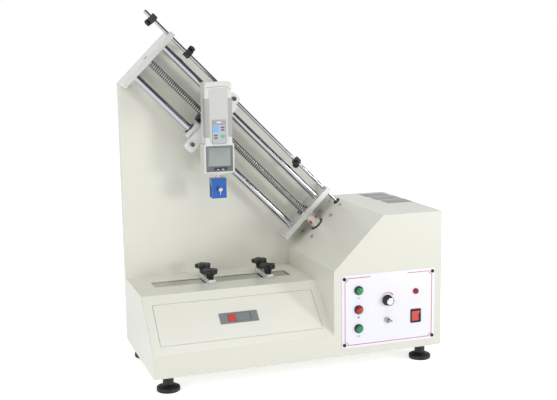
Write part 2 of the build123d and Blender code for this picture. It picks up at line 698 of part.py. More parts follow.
def screw_bearings():
    bore = JOURNAL_RADIUS + RUNNING
    upper = bar_x(0, 0, -SLIDE_CLEAR - UPPER_BEARING_WIDE, -SLIDE_CLEAR, UPPER_BEARING_RADIUS)
    lower = bar_x(0, 0, 0, END_PLATE_THICK, LOWER_BEARING_RADIUS)
    lower = lower + bar_x(0, 0, -FLANGE_THICK, 0, FLANGE_RADIUS)
    for y, z in flange_screw_places():
        lower = lower - bar_x(y, z, -FLANGE_THICK - 1, 1, SMALL_SCREW[0])
    rings = [ring - bar_x(0, 0, -2 * SLIDE_CLEAR, SLIDE_CLEAR, bore) for ring in (upper, lower)]
    return group([SLIDE * ring for ring in rings])


def lead_screw():
    top = -SLIDE_CLEAR + CLEAR
    bottom = -FLANGE_THICK - CLEAR
    thread = bar_x(0, 0, top, bottom, SCREW_RADIUS)
    upper = bar_x(0, 0, -SLIDE_CLEAR - END_PLATE_THICK + 1, top, JOURNAL_RADIUS)
    lower = bar_x(0, 0, bottom, JAW_START, JOURNAL_RADIUS)
    motor_shaft = bar_x(0, 0, FAR_HUB_START, FACE_BACK + MOTOR_SHAFT_DEPTH, JOURNAL_RADIUS)
    return group([SLIDE * (thread + upper + lower), SLIDE * motor_shaft])


def coupling_hub(start, jaw_from, jaw_to, turn):
    hub = bar_x(0, 0, start, start + HUB_LONG, HUB_RADIUS)
    jaws = bar_x(0, 0, jaw_from, jaw_to, HUB_RADIUS) - bar_x(0, 0, jaw_from - 1, jaw_to + 1, SPIDER_RING)
    for angle in (turn, turn + 180):
        hub = hub + (jaws & wedge(angle, JAW_ANGLE, 2 * HUB_RADIUS, jaw_from, jaw_to))
    return hub - bar_x(0, 0, start - 1, start + HUB_LONG + 1, JOURNAL_RADIUS)


def coupling_hubs():
    near = coupling_hub(HUB_START, JAW_START, FAR_HUB_START - CLEAR, 0)
    far = coupling_hub(FAR_HUB_START, JAW_START + CLEAR, FAR_HUB_START, 90)
    return group([SLIDE * near, SLIDE * far])


def coupling_spider():
    start = JAW_START
    stop = FAR_HUB_START
    ring = bar_x(0, 0, start, stop, SPIDER_RING)
    legs = bar_x(0, 0, start, stop, HUB_RADIUS)
    for number in range(4):
        ring = ring + (legs & wedge(45 + 90 * number, SPIDER_ANGLE, 2 * HUB_RADIUS, start, stop))
    return SLIDE * (ring - bar_x(0, 0, start - 1, stop + 1, SPIDER_BORE))


def motor_bolt_places():
    half = MOTOR_BOLT_SPACING / 2
    return [(up, out) for up in (-half, half) for out in (-half, half)]


def gear_motor():
    half = GEARHEAD_SIZE / 2
    start = FACE_BACK
    gearhead = block(start, start + GEARHEAD_LONG, -half, half, -half, half)
    gearhead = chamfer(gearhead.edges().filter_by(Axis.X), GEARHEAD_SIZE / 12)
    middle = start + GEARHEAD_LONG
    motor = bar_x(0, 0, middle, middle + MOTOR_LONG, MOTOR_RADIUS)
    cap = bar_x(0, 0, middle + MOTOR_LONG, middle + MOTOR_LONG + FAN_CAP_LONG, MOTOR_RADIUS - 2 * SHEET)
    drive = gearhead + motor + cap
    drive = drive - bar_x(0, 0, start - 1, start + MOTOR_SHAFT_DEPTH + 1, JOURNAL_RADIUS + RUNNING)
    for up, out in motor_bolt_places():
        drive = drive - bar_x(up, out, start - 1, FACE_AT + MOTOR_SCREW[3], MOTOR_SCREW[0])
    return SLIDE * drive


# Stop rod and limit switches
def stop_rod():
    rod = bar_x(STOP_OFFSET, 0, -STOP_TIP, STOP_END, STOP_RADIUS)
    cam = bar_x(STOP_OFFSET, 0, STOP_END - CAM_BACK - CAM_WIDE, STOP_END - CAM_BACK, CAM_RADIUS)
    return SLIDE * (rod + cam)


def collar_frame(number):
    return SLIDE * Pos(-COLLAR_PLACES[number], STOP_OFFSET, 0) * Rot(COLLAR_TURNS[number], 0, 0)


def stop_collar(number):
    # The thumb screw's shank is inside the block; its fluted head stands on a short neck.
    half = COLLAR_SIZE / 2
    body = block(-COLLAR_LONG / 2, COLLAR_LONG / 2, -half, half, -half, half)
    body = chamfer(body.edges().filter_by(Axis.X), CLEAR * 2)
    body = body - bar_x(0, 0, -COLLAR_LONG, COLLAR_LONG, STOP_RADIUS + RUNNING)
    body = body - bar_y(0, 0, STOP_RADIUS - 1, half + 1, COLLAR_NECK)
    return collar_frame(number) * body


def collar_screw(number):
    start = COLLAR_SIZE / 2 + COLLAR_NECK
    head = bar_y(0, 0, start, start + COLLAR_HEAD_LONG, COLLAR_HEAD_RADIUS)
    for flute in range(COLLAR_FLUTES):
        angle = 2 * pi * flute / COLLAR_FLUTES
        x = COLLAR_HEAD_RADIUS * sin(angle)
        z = COLLAR_HEAD_RADIUS * cos(angle)
        head = head - bar_y(x, z, start - 1, start + COLLAR_HEAD_LONG + 1, CLEAR * 2)
    neck = bar_y(0, 0, STOP_RADIUS + CLEAR, start, COLLAR_NECK - RUNNING)
    return collar_frame(number) * (head + neck)


def limit_switches():
    shelf_low = STOP_OFFSET - COLLAR_SIZE
    shelf_out = SWITCH_GAP + SWITCH_WIDE + SWITCH_START
    shelf_end = FACE_BACK + SWITCH_START + SWITCH_LONG + SHEET
    shelf = block(FACE_BACK, shelf_end, shelf_low - SHEET, shelf_low, -shelf_out, shelf_out)
    lug_high = BRACKET_SCREW_UP + SWITCH_WIDE / 2
    bracket = shelf
    for side in (-1, 1):
        near = side * (shelf_out - SHEET)
        far = side * (BRACKET_SCREW_OUT + SWITCH_WIDE / 2)
        lug = block(FACE_BACK, FACE_BACK + SHEET, shelf_low - SHEET, lug_high, *sorted((near, far)))
        hole = bar_x(BRACKET_SCREW_UP, side * BRACKET_SCREW_OUT, FACE_BACK - 1, FACE_BACK + 9, PLATE_SCREW[0])
        lug = lug - hole
        bracket = bracket + lug
    pieces = [SLIDE * bracket]
    start = FACE_BACK + SWITCH_START
    for side in (-1, 1):
        near = side * SWITCH_GAP
        far = side * (SWITCH_GAP + SWITCH_WIDE)
        body = block(start, start + SWITCH_LONG, shelf_low, shelf_low + SWITCH_HIGH, *sorted((near, far)))
        pieces.append(SLIDE * body)
    return group(pieces)


# Carriage
def bearing_blocks():
    half = BLOCK_SIZE / 2
    blocks = []
    for up in (-ROD_SPREAD, ROD_SPREAD):
        body = block(-BLOCK_LONG / 2, BLOCK_LONG / 2, up - half, up + half, -half, half)
        body = chamfer(body.edges().filter_by(Axis.X), BAR_EDGE)
        blocks.append(body - bar_x(up, 0, -BLOCK_LONG, BLOCK_LONG, BUSHING_RADIUS))
    inner = ROD_SPREAD - half
    nut_block = block(-NUT_BLOCK_LONG / 2, NUT_BLOCK_LONG / 2, -inner, inner, -half, half)
    blocks.append(nut_block - bar_x(0, 0, -BLOCK_LONG, BLOCK_LONG, NUT_RADIUS))
    return group([SLIDE * Pos(-CARRIAGE_AT, 0, 0) * body for body in blocks])


def linear_bushings():
    rings = []
    for up in (-ROD_SPREAD, ROD_SPREAD):
        ring = bar_x(up, 0, -BLOCK_LONG / 2, BLOCK_LONG / 2, BUSHING_RADIUS)
        rings.append(ring - bar_x(up, 0, -BLOCK_LONG, BLOCK_LONG, ROD_RADIUS + RUNNING))
    return group([SLIDE * Pos(-CARRIAGE_AT, 0, 0) * ring for ring in rings])


def screw_nut():
    start = -NUT_BLOCK_LONG / 2
    flange = bar_x(0, 0, start - NUT_FLANGE_THICK, start, NUT_FLANGE_RADIUS)
    body = bar_x(0, 0, start, NUT_BLOCK_LONG / 2 + NUT_TAIL, NUT_RADIUS)
    nut = flange + body - bar_x(0, 0, -BLOCK_LONG, BLOCK_LONG, SCREW_RADIUS + RUNNING)
    return SLIDE * Pos(-CARRIAGE_AT, 0, 0) * nut


def carriage_plate():
    half = CARRIER_WIDE / 2
    plate = block(-half, half, -CARRIER_LOW, CARRIER_HIGH, CARRIER_BACK, CARRIER_FRONT)
    plate = fillet(plate.edges().filter_by(Axis.Z), CARRIER_CORNER)
    finger = block(-FINGER_THICK / 2, FINGER_THICK / 2, STOP_OFFSET - FINGER_WIDE / 2,
                   STOP_OFFSET + FINGER_WIDE / 2 - 1, CARRIER_BACK - FINGER_DEEP, CARRIER_BACK)
    finger = finger - bar_x(STOP_OFFSET, 0, -CARRIER_WIDE, CARRIER_WIDE, FINGER_HOLE)
    ear = block(-FINGER_THICK / 2, FINGER_THICK / 2, -STOP_OFFSET - FINGER_WIDE / 2,
                -STOP_OFFSET + FINGER_WIDE / 2, CARRIER_BACK - EAR_DEEP, CARRIER_BACK)
    pieces = [plate, finger, ear]
    for up in (-CARRIER_SCREW_LOW, CARRIER_SCREW_HIGH):
        hole = bar_z(0, up, CARRIER_FRONT - CAP_SCREW[3], CARRIER_FRONT + 1, CAP_SCREW[0])
        pieces = [piece - hole for piece in pieces]
    return group([SLIDE * Pos(-CARRIAGE_AT, 0, 0) * piece for piece in pieces])


def carriage_screws():
    places = (-CARRIER_SCREW_LOW, CARRIER_SCREW_HIGH)
    return group([SLIDE * Pos(-CARRIAGE_AT, up, CARRIER_FRONT) * screw(CAP_SCREW) for up in places])


# Force gauge
def gauge_outline():
    body = GAUGE_BODY_WIDE / 2
    head = GAUGE_HEAD_WIDE / 2
    step = head - body
    right = [(head, GAUGE_FOOT), (head, GAUGE_NECK - step), (body, GAUGE_NECK), (body, GAUGE_TOP)]
    left = [(-x, z) for x, z in reversed(right)]
    return [(GAUGE_X + x, z) for x, z in right + left]


def gauge_half(y0, y1, face_y):
    shell = front_prism(gauge_outline(), y0, y1)
    corners = [edge for edge in shell.edges().filter_by(Axis.Y)
               if edge.center().Z > GAUGE_TOP - 1 or edge.center().Z < GAUGE_FOOT + 1]
    shell = fillet(corners, GAUGE_CORNER)
    rim = [edge for edge in shell.edges() if abs(edge.center().Y - face_y) < 0.01]
    return fillet(rim, GAUGE_EDGE)


def gauge_front_shell():
    shell = gauge_half(GAUGE_FRONT_Y, GAUGE_SPLIT_Y, GAUGE_FRONT_Y)
    half = SCREEN_WIDE / 2
    shell = shell - block(GAUGE_X - half, GAUGE_X + half, GAUGE_FRONT_Y - 1, GAUGE_FRONT_Y + SCREEN_THICK,
                          SCREEN_MIDDLE - SCREEN_HIGH / 2, SCREEN_MIDDLE + SCREEN_HIGH / 2)
    half = KEYPAD_WIDE / 2
    shell = shell - block(GAUGE_X - half, GAUGE_X + half, GAUGE_FRONT_Y - 1, GAUGE_FRONT_Y + KEYPAD_THICK,
                          KEYPAD_MIDDLE - KEYPAD_HIGH / 2, KEYPAD_MIDDLE + KEYPAD_HIGH / 2)
    for pad in gauge_pad_shapes():
        shell = shell - pad
    return shell - gauge_shaft_room()


def gauge_rear_shell():
    shell = gauge_half(GAUGE_SPLIT_Y, GAUGE_BACK_Y, GAUGE_BACK_Y)
    half_wide = GAUGE_PLINTH_WIDE / 2
    half_deep = GAUGE_PLINTH_DEEP / 2
    plinth = block(GAUGE_X - half_wide, GAUGE_X + half_wide, GAUGE_SPLIT_Y - half_deep,
                   GAUGE_SPLIT_Y + half_deep, GAUGE_FOOT - GAUGE_PLINTH_HIGH, GAUGE_FOOT)
    plinth = fillet(plinth.edges().filter_by(Axis.Z), GAUGE_EDGE)
    return shell + plinth - gauge_shaft_room()


def gauge_shaft_room():
    low = GAUGE_FOOT - 2 * GAUGE_PLINTH_HIGH
    return bar_z(GAUGE_X, GAUGE_SPLIT_Y, low, GAUGE_FOOT + SHAFT_SEAT, SHAFT_RADIUS)


def gauge_pad_shapes():
    pads = []
    edge = GAUGE_BODY_WIDE / 2
    front = GAUGE_FRONT_Y - GRIP_PAD_PROUD
    back = GAUGE_SPLIT_Y
    for side in (-1, 1):
        outer = GAUGE_X + side * (edge + GRIP_PAD_PROUD)
        inner = GAUGE_X + side * (edge - GRIP_PAD_WIDE)
        pad = block(*sorted((inner, outer)), front, back, GRIP_PAD_LOW, GRIP_PAD_HIGH)
        core_inner = GAUGE_X + side * (edge - GRIP_PAD_SEAT)
        core = block(*sorted((inner - side, core_inner)), front + GRIP_PAD_SEAT, back + 1,
                     GRIP_PAD_LOW - 1, GRIP_PAD_HIGH + 1)
        pad = pad - core
        corner = [e for e in pad.edges().filter_by(Axis.Z) if abs(e.center().X - outer) < 0.01
                  and e.center().Y < front + 0.01]
        pads.append(fillet(corner, GAUGE_EDGE))
    return pads


def gauge_grip_pads():
    return group(gauge_pad_shapes())


def gauge_screen():
    half = SCREEN_WIDE / 2
    return block(GAUGE_X - half, GAUGE_X + half, GAUGE_FRONT_Y, GAUGE_FRONT_Y + SCREEN_THICK,
                 SCREEN_MIDDLE - SCREEN_HIGH / 2, SCREEN_MIDDLE + SCREEN_HIGH / 2)


def gauge_keypad():
    half = KEYPAD_WIDE / 2
    pad = block(GAUGE_X - half, GAUGE_X + half, GAUGE_FRONT_Y, GAUGE_FRONT_Y + KEYPAD_THICK,
                KEYPAD_MIDDLE - KEYPAD_HIGH / 2, KEYPAD_MIDDLE + KEYPAD_HIGH / 2)
    for across in (-KEY_PITCH_X / 2, KEY_PITCH_X / 2):
        for up in (-KEY_PITCH_Z / 2, KEY_PITCH_Z / 2):
            x = GAUGE_X + across
            z = KEY_MIDDLE + up
            pad = pad + block(x - KEY_WIDE / 2, x + KEY_WIDE / 2, GAUGE_FRONT_Y - KEY_PROUD, GAUGE_FRONT_Y,
                              z - KEY_HIGH / 2, z + KEY_HIGH / 2)
    return pad


def gauge_shaft():
    shaft = bar_z(GAUGE_X, GAUGE_SPLIT_Y, GRIP_TOP - SHAFT_INTO_GRIP, GAUGE_FOOT + SHAFT_SEAT, SHAFT_RADIUS)
    top = GAUGE_FOOT - GAUGE_PLINTH_HIGH - NUT_DROP
    nut = hexagon_z(GAUGE_X, GAUGE_SPLIT_Y, top - NUT_HIGH, top, NUT_FLATS)
    nut = nut - bar_z(GAUGE_X, GAUGE_SPLIT_Y, top - 2 * NUT_HIGH, top + 1, SHAFT_RADIUS)
    return group([shaft, nut])


# Peel grip
def grip_body():
    half = GRIP_WIDE / 2
    body = block(GAUGE_X - half, GAUGE_X + half, GRIP_FRONT_Y, GRIP_BACK_Y, GRIP_BOTTOM, GRIP_TOP)
    body = chamfer(body.edges().filter_by(Axis.Z) + body.edges().group_by(Axis.Z)[-1], BAR_EDGE)
    slot_front = GRIP_FRONT_Y + GRIP_FRONT_WALL
    body = body - block(GAUGE_X - half - 1, GAUGE_X + half + 1, slot_front, slot_front + GRIP_SLOT_DEEP,
                        GRIP_BOTTOM - 1, GRIP_BOTTOM + GRIP_SLOT_HIGH)
    body = body - bar_z(GAUGE_X, GAUGE_SPLIT_Y, GRIP_TOP - SHAFT_INTO_GRIP, GRIP_TOP + 1, SHAFT_RADIUS)
    return body - bar_y(GAUGE_X, GRIP_SCREW_Z, GRIP_FRONT_Y - 1, slot_front + 1, GRIP_SCREW_RADIUS + CLEAR)


def grip_jaw():
    start = GRIP_FRONT_Y + GRIP_FRONT_WALL + CLEAR
    half = JAW_WIDE / 2
    low = GRIP_BOTTOM + (GRIP_SLOT_HIGH - JAW_HIGH) / 2
    return block(GAUGE_X - half, GAUGE_X + half, start, start + JAW_THICK, low, low + JAW_HIGH)


def grip_screw():
    tip = GRIP_FRONT_Y + GRIP_FRONT_WALL + CLEAR
    head_back = GRIP_FRONT_Y - JAW_STROKE - CLEAR
    shank = bar_y(GAUGE_X, GRIP_SCREW_Z, head_back, tip, GRIP_SCREW_RADIUS)
    head = bar_y(GAUGE_X, GRIP_SCREW_Z, head_back - GRIP_HEAD_LONG, head_back, GRIP_HEAD_RADIUS)
    head = chamfer(head.edges().filter_by(GeomType.CIRCLE), CLEAR)
    return shank + head


# Door and latch, in the slope's plane
def door():
    right = DOOR_LEFT + DOOR_WIDE
    top = DOOR_START + DOOR_HIGH
    pan = block(DOOR_LEFT, right, DOOR_START, top, -DOOR_FLANGE, 0)
    lower_edge = [edge for edge in pan.edges().filter_by(Axis.X) if edge.center().Y < DOOR_START + 0.01
                  and edge.center().Z > -0.01]
    pan = fillet(lower_edge, DOOR_ROUND)
    pan = pan - block(DOOR_LEFT + SHEET, right - SHEET, DOOR_START + 2 * DOOR_ROUND, top - SHEET,
                      -DOOR_FLANGE - 1, -SHEET)
    pan = pan - bar_x(DOOR_START + DOOR_ROUND, -DOOR_ROUND, DOOR_LEFT - 1, right + 1, PIN_RADIUS + RUNNING)
    return SLOPE * (pan - latch_room())


def latch_left():
    return DOOR_LEFT + DOOR_WIDE / 2 - LATCH_WIDE / 2


def latch_low():
    return DOOR_START + DOOR_HIGH / 2 - LATCH_HIGH / 2


def latch_room():
    wall = 2 * LATCH_WALL
    return block(latch_left() + wall, latch_left() + LATCH_WIDE - wall, latch_low() + wall,
                 latch_low() + LATCH_HIGH - wall, -2 * LATCH_DEPTH, LATCH_DEPTH)


def latch_housing():
    left = latch_left()
    low = latch_low()
    wall = 2 * LATCH_WALL
    plate = block(left, left + LATCH_WIDE, low, low + LATCH_HIGH, 0, LATCH_PROUD)
    body = block(left + wall, left + LATCH_WIDE - wall, low + wall, low + LATCH_HIGH - wall, -LATCH_DEPTH, 0)
    middle = low + LATCH_HIGH / 2
    button_left = left + LATCH_BUTTON_START
    half = LATCH_BUTTON_HIGH / 2
    floor = LATCH_WALL - LATCH_DEPTH
    top = LATCH_PROUD + 1
    well = block(button_left, button_left + LATCH_BUTTON_WIDE, middle - half, middle + half, floor, top)
    lever_left = button_left + LATCH_BUTTON_WIDE + LATCH_BAR
    half = LATCH_LEVER_HIGH / 2
    tray = block(lever_left, lever_left + LATCH_LEVER_WIDE, middle - half, middle + half, floor, top)
    return SLOPE * (plate + body - well - tray)


def latch_button():
    left = latch_left() + LATCH_BUTTON_START + LATCH_PLAY
    middle = latch_low() + LATCH_HIGH / 2
    half = LATCH_BUTTON_HIGH / 2 - LATCH_PLAY
    top = LATCH_PROUD + LATCH_BUTTON_PROUD
    button = block(left, left + LATCH_BUTTON_WIDE - 2 * LATCH_PLAY, middle - half, middle + half,
                   top - LATCH_BUTTON_THICK, top)
    return SLOPE * chamfer(button.edges().group_by(Axis.Z)[-1], LATCH_PLAY)


def latch_lever():
    # Flush finger lever; it swings out about the end away from the button.
    left = latch_left() + LATCH_BUTTON_START + LATCH_BUTTON_WIDE + LATCH_BAR + LATCH_PLAY
    right = left + LATCH_LEVER_WIDE - 2 * LATCH_PLAY
    middle = latch_low() + LATCH_HIGH / 2
    half = LATCH_LEVER_HIGH / 2 - LATCH_PLAY
    low = LATCH_PROUD - LATCH_LEVER_THICK
    lever = block(left, right, middle - half, middle + half, low, LATCH_PROUD)
    outer = [edge for edge in lever.edges().filter_by(Axis.Y) if edge.center().X > right - 0.01]
    return SLOPE * fillet(outer, LATCH_LEVER_THICK / 2 - 0.05)


def hinge_lugs():
    # A lug with its pin at each lower corner of the door opening, welded under the slope
    lugs = []
    for edge, side in ((DOOR_LEFT, -1), (DOOR_LEFT + DOOR_WIDE, 1)):
        near = edge + side * DOOR_GAP
        lug_ends = sorted((near, near + side * LUG_WIDE))
        lug = block(*lug_ends, DOOR_START, DOOR_START + LUG_HIGH, -DOOR_FLANGE, -SHEET)
        pin_ends = sorted((edge - side * SHEET, near + side))
        pin = bar_x(DOOR_START + DOOR_ROUND, -DOOR_ROUND, *pin_ends, PIN_RADIUS)
        lugs.append(SLOPE * (lug + pin))
    return lugs


# Controls
def plate_screw_places():
    left = PLATE_LEFT + PLATE_SCREW_INSET_X
    right = PLATE_LEFT + PLATE_WIDE - PLATE_SCREW_INSET_X
    low = PLATE_LOW + PLATE_SCREW_INSET_Z
    high = PLATE_LOW + PLATE_HIGH - PLATE_SCREW_INSET_Z
    return [(x, z) for x in (left, right) for z in (low, high)]


def rocker_body_room(y0, y1):
    wide = ROCKER_BODY_WIDE / 2
    high = ROCKER_BODY_HIGH / 2
    return block(LAMP_COLUMN - wide, LAMP_COLUMN + wide, y0, y1, ROCKER_Z - high, ROCKER_Z + high)


def control_plate():
    plate = block(PLATE_LEFT, PLATE_LEFT + PLATE_WIDE, PLATE_FRONT, 0, PLATE_LOW, PLATE_LOW + PLATE_HIGH)
    plate = fillet(plate.edges().filter_by(Axis.Y), SHEET)
    for z in BUTTON_ROWS:
        plate = plate - bar_y(BUTTON_COLUMN, z, -9, 9, BARREL_RADIUS)
    plate = plate - bar_y(KNOB_COLUMN, SPEED_KNOB_Z, -9, 9, POT_BUSH_RADIUS)
    plate = plate - bar_y(KNOB_COLUMN, TOGGLE_Z, -9, 9, TOGGLE_BUSH_RADIUS)
    plate = plate - bar_y(LAMP_COLUMN, LAMP_Z, -9, 9, LAMP_RADIUS)
    for x, z in plate_screw_places():
        plate = plate - bar_y(x, z, -9, 9, PLATE_SCREW[0])
    return plate - rocker_body_room(-9, 9)


def switch_bezels():
    bezels = []
    for z in BUTTON_ROWS:
        ring = bar_y(BUTTON_COLUMN, z, PLATE_FRONT - BEZEL_PROUD, PLATE_FRONT, BEZEL_RADIUS)
        ring = chamfer(ring.edges().filter_by(GeomType.CIRCLE).sort_by(Axis.Y)[0], BAR_EDGE)
        ring = ring + bar_y(BUTTON_COLUMN, z, PLATE_FRONT, BARREL_DEPTH, BARREL_RADIUS)
        well = bar_y(BUTTON_COLUMN, z, -2 * BEZEL_RADIUS, BARREL_DEPTH - BARREL_FLOOR, CAP_RADIUS + CAP_PLAY)
        bezels.append(ring - well)
    wide = ROCKER_FRAME_WIDE / 2
    high = ROCKER_FRAME_HIGH / 2
    frame = block(LAMP_COLUMN - wide, LAMP_COLUMN + wide, PLATE_FRONT - ROCKER_FRAME_PROUD, PLATE_FRONT,
                  ROCKER_Z - high, ROCKER_Z + high)
    frame = chamfer(frame.edges().group_by(Axis.Y)[0], BAR_EDGE)
    frame = frame + rocker_body_room(PLATE_FRONT, ROCKER_DEPTH)
    wide = ROCKER_HOLE_WIDE / 2
    high = ROCKER_HOLE_HIGH / 2
    hole = block(LAMP_COLUMN - wide, LAMP_COLUMN + wide, PLATE_FRONT - 9, ROCKER_DEPTH - BARREL_FLOOR,
                 ROCKER_Z - high, ROCKER_Z + high)
    bezels.append(frame - hole)
    return bezels


def push_button(z):
    front = PLATE_FRONT - CAP_PROUD
    cap = bar_y(BUTTON_COLUMN, z, front, CAP_DEPTH, CAP_RADIUS)
    return fillet(cap.edges().filter_by(GeomType.CIRCLE).sort_by(Axis.Y)[0], CAP_DOME)


def speed_knob():
    z = SPEED_KNOB_Z
    back = PLATE_FRONT - KNOB_STANDOFF
    front = PLATE_FRONT - SPEED_KNOB_REACH
    skirt = bar_y(KNOB_COLUMN, z, back - SPEED_KNOB_SKIRT, back, SPEED_KNOB_RADIUS)
    body = bar_y(KNOB_COLUMN, z, front, back, SPEED_KNOB_TOP)
    body = chamfer(body.edges().filter_by(GeomType.CIRCLE).sort_by(Axis.Y)[0], BAR_EDGE)
    for flute in range(SPEED_KNOB_FLUTES):
        angle = 2 * pi * flute / SPEED_KNOB_FLUTES
        x = KNOB_COLUMN + SPEED_KNOB_TOP * cos(angle)
        body = body - bar_y(x, z + SPEED_KNOB_TOP * sin(angle), front - 1, front + SPEED_FLUTE_LONG,
                            SPEED_FLUTE_RADIUS)
    shaft_front = front + POT_BUSH_RADIUS
    knob = skirt + body - bar_y(KNOB_COLUMN, z, shaft_front, 9, POT_SHAFT_RADIUS)
    knob = knob - bar_y(KNOB_COLUMN, z, back - 2 * SHEET, 9, POT_BUSH_RADIUS + CLEAR)
    shaft = bar_y(KNOB_COLUMN, z, shaft_front, SHEET, POT_SHAFT_RADIUS)
    return group([knob, shaft])


def toggle_lever():
    lever = loft([Circle(TOGGLE_ROOT_RADIUS), Pos(0, 0, TOGGLE_LEVER_LONG - TOGGLE_TIP_RADIUS)
                  * Circle(TOGGLE_TIP_RADIUS)])
    lever = lever + Pos(0, 0, TOGGLE_LEVER_LONG - TOGGLE_TIP_RADIUS) * Sphere(TOGGLE_TIP_RADIUS)
    lever = lever + Sphere(TOGGLE_BALL)
    pin_reach = TOGGLE_BALL + TOGGLE_PIN_PROUD
    pin = bar_z(0, 0, -pin_reach, pin_reach, TOGGLE_PIN_RADIUS)
    lean = Rot(0, 0, TOGGLE_LEAN)
    return Pos(*toggle_pivot()) * lean * (Rot(90, 0, 0) * lever + pin)


def toggle_pivot():
    return (KNOB_COLUMN, PLATE_FRONT - SHEET, TOGGLE_Z)


def switch_bodies():
    # The speed control behind the knob, and the toggle switch with its bush and nut
    pot = bar_y(KNOB_COLUMN, SPEED_KNOB_Z, PLATE_FRONT - SHEET, SHEET, POT_BUSH_RADIUS)
    pot = pot + bar_y(KNOB_COLUMN, SPEED_KNOB_Z, SHEET, SHEET + POT_BODY_LONG, POT_BODY_RADIUS)
    pot = pot - bar_y(KNOB_COLUMN, SPEED_KNOB_Z, -9, SHEET, POT_SHAFT_RADIUS + RUNNING)
    front = PLATE_FRONT - TOGGLE_BUSH_PROUD
    bush = bar_y(KNOB_COLUMN, TOGGLE_Z, front, SHEET, TOGGLE_BUSH_RADIUS)
    wide, deep, high = TOGGLE_BODY_SIZE
    bush = bush + block(KNOB_COLUMN - wide / 2, KNOB_COLUMN + wide / 2, SHEET, SHEET + deep,
                        TOGGLE_Z - high / 2, TOGGLE_Z + high / 2)
    mouth_long = TOGGLE_BUSH_PROUD - SHEET + 1
    mouth = Rot(90, 0, 0) * Cone(TOGGLE_BALL + CLEAR, TOGGLE_BUSH_RADIUS - BAR_EDGE, mouth_long)
    bush = bush - Pos(KNOB_COLUMN, front - 1 + mouth_long / 2, TOGGLE_Z) * mouth
    bush = bush - bar_y(KNOB_COLUMN, TOGGLE_Z, PLATE_FRONT - SHEET, SHEET, TOGGLE_BALL + CLEAR)
    nut = Pos(KNOB_COLUMN, PLATE_FRONT, TOGGLE_Z) * Rot(90, 0, 0) * extrude(
        RegularPolygon(TOGGLE_NUT_FLATS / 2, 6, major_radius=False), amount=TOGGLE_NUT_THICK)
    nut = nut - bar_y(KNOB_COLUMN, TOGGLE_Z, -9, 9, TOGGLE_BUSH_RADIUS)
    return [pot, bush, nut]


def indicator_lamp():
    dome = bar_y(LAMP_COLUMN, LAMP_Z, PLATE_FRONT - LAMP_PROUD, LAMP_DEPTH, LAMP_RADIUS)
    dome = fillet(dome.edges().filter_by(GeomType.CIRCLE).sort_by(Axis.Y)[0], LAMP_RADIUS - 1)
    return dome + bar_y(LAMP_COLUMN, LAMP_Z, PLATE_FRONT - LAMP_FLANGE, PLATE_FRONT, LAMP_FLANGE_RADIUS)


def rocker():
    profile = [(ROCKER_BACK, -ROCKER_HALF), (-ROCKER_FRONT, -ROCKER_HALF), (-ROCKER_DIP, 0),
               (-ROCKER_FRONT, ROCKER_HALF), (ROCKER_BACK, ROCKER_HALF)]
    paddle = side_prism(profile, -ROCKER_WIDE / 2, ROCKER_WIDE / 2)
    pin_reach = ROCKER_WIDE / 2 + ROCKER_PIN_PROUD
    paddle = paddle + bar_x(0, 0, -pin_reach, pin_reach, ROCKER_PIN_RADIUS)
    return Pos(LAMP_COLUMN, ROCKER_PIVOT, ROCKER_Z) * Rot(ROCKER_LEAN, 0, 0) * paddle


# Screws that stay put
def fixing_screws():
    screws = clamp_studs()
    for x, z in plate_screw_places():
        screws.append(Pos(x, PLATE_FRONT, z) * Rot(90, 0, 0) * screw(PLATE_SCREW))
    for x, z in back_screw_places():
        shank, head, head_high, length = COVER_SCREW
        screws.append(Pos(x, BODY_DEPTH, z) * Rot(-90, 0, 0) * screw((shank, head, head_high, SHEET)))
    for up, out in motor_bolt_places():
        screws.append(SLIDE * Pos(FACE_AT, up, out) * Rot(0, -90, 0) * screw(MOTOR_SCREW))
    for out in (-BRACKET_SCREW_OUT, BRACKET_SCREW_OUT):
        screws.append(SLIDE * Pos(FACE_AT, BRACKET_SCREW_UP, out) * Rot(0, -90, 0) * screw(PLATE_SCREW))
    for up, out in flange_screw_places():
        screws.append(SLIDE * Pos(-FLANGE_THICK, up, out) * Rot(0, -90, 0) * screw(SMALL_SCREW))
    for along, up in panel_bolt_places():
        seat = SLIDE * Pos(along, up, -AXIS_OFF_PANEL - SHEET) * Rot(180, 0, 0)
        screws.append(seat * screw(PANEL_BOLT))
    return group(screws)


# Mains inlet and inner pieces
def inlet_room(y0, y1):
    wide = INLET_BODY_WIDE / 2
    high = INLET_BODY_HIGH / 2
    return block(INLET_X - wide, INLET_X + wide, y0, y1, INLET_Z - high, INLET_Z + high)


def mains_inlet():
    wide = INLET_FLANGE_WIDE / 2
    high = INLET_FLANGE_HIGH / 2
    flange = block(INLET_X - wide, INLET_X + wide, BODY_DEPTH, BODY_DEPTH + INLET_FLANGE_THICK,
                   INLET_Z - high, INLET_Z + high)
    flange = fillet(flange.edges().filter_by(Axis.Y), 2 * SHEET)
    body = flange + inlet_room(BODY_DEPTH - INLET_DEPTH, BODY_DEPTH)
    wide = INLET_SOCKET_WIDE / 2
    high = INLET_SOCKET_HIGH / 2
    back = BODY_DEPTH + INLET_FLANGE_THICK
    middle = INLET_Z + INLET_SOCKET_RISE
    body = body - block(INLET_X - wide, INLET_X + wide, back - INLET_SOCKET_DEEP, back + 1,
                        middle - high, middle + high)
    low = INLET_Z - FUSE_DROP
    groove = block(INLET_X - FUSE_WIDE / 2, INLET_X + FUSE_WIDE / 2, back - FUSE_PROUD, back + 1,
                   low - FUSE_HIGH / 2, low + FUSE_HIGH / 2)
    return body - groove


def power_supply():
    long, deep, high = SUPPLY_SIZE
    x, y = SUPPLY_AT
    case = block(x, x + long, y, y + deep, SHEET, SHEET + high)
    return case - block(x - 1, x + SUPPLY_SHELF, y - 1, y + deep + 1, SHEET + high / 2, SHEET + high + 1)


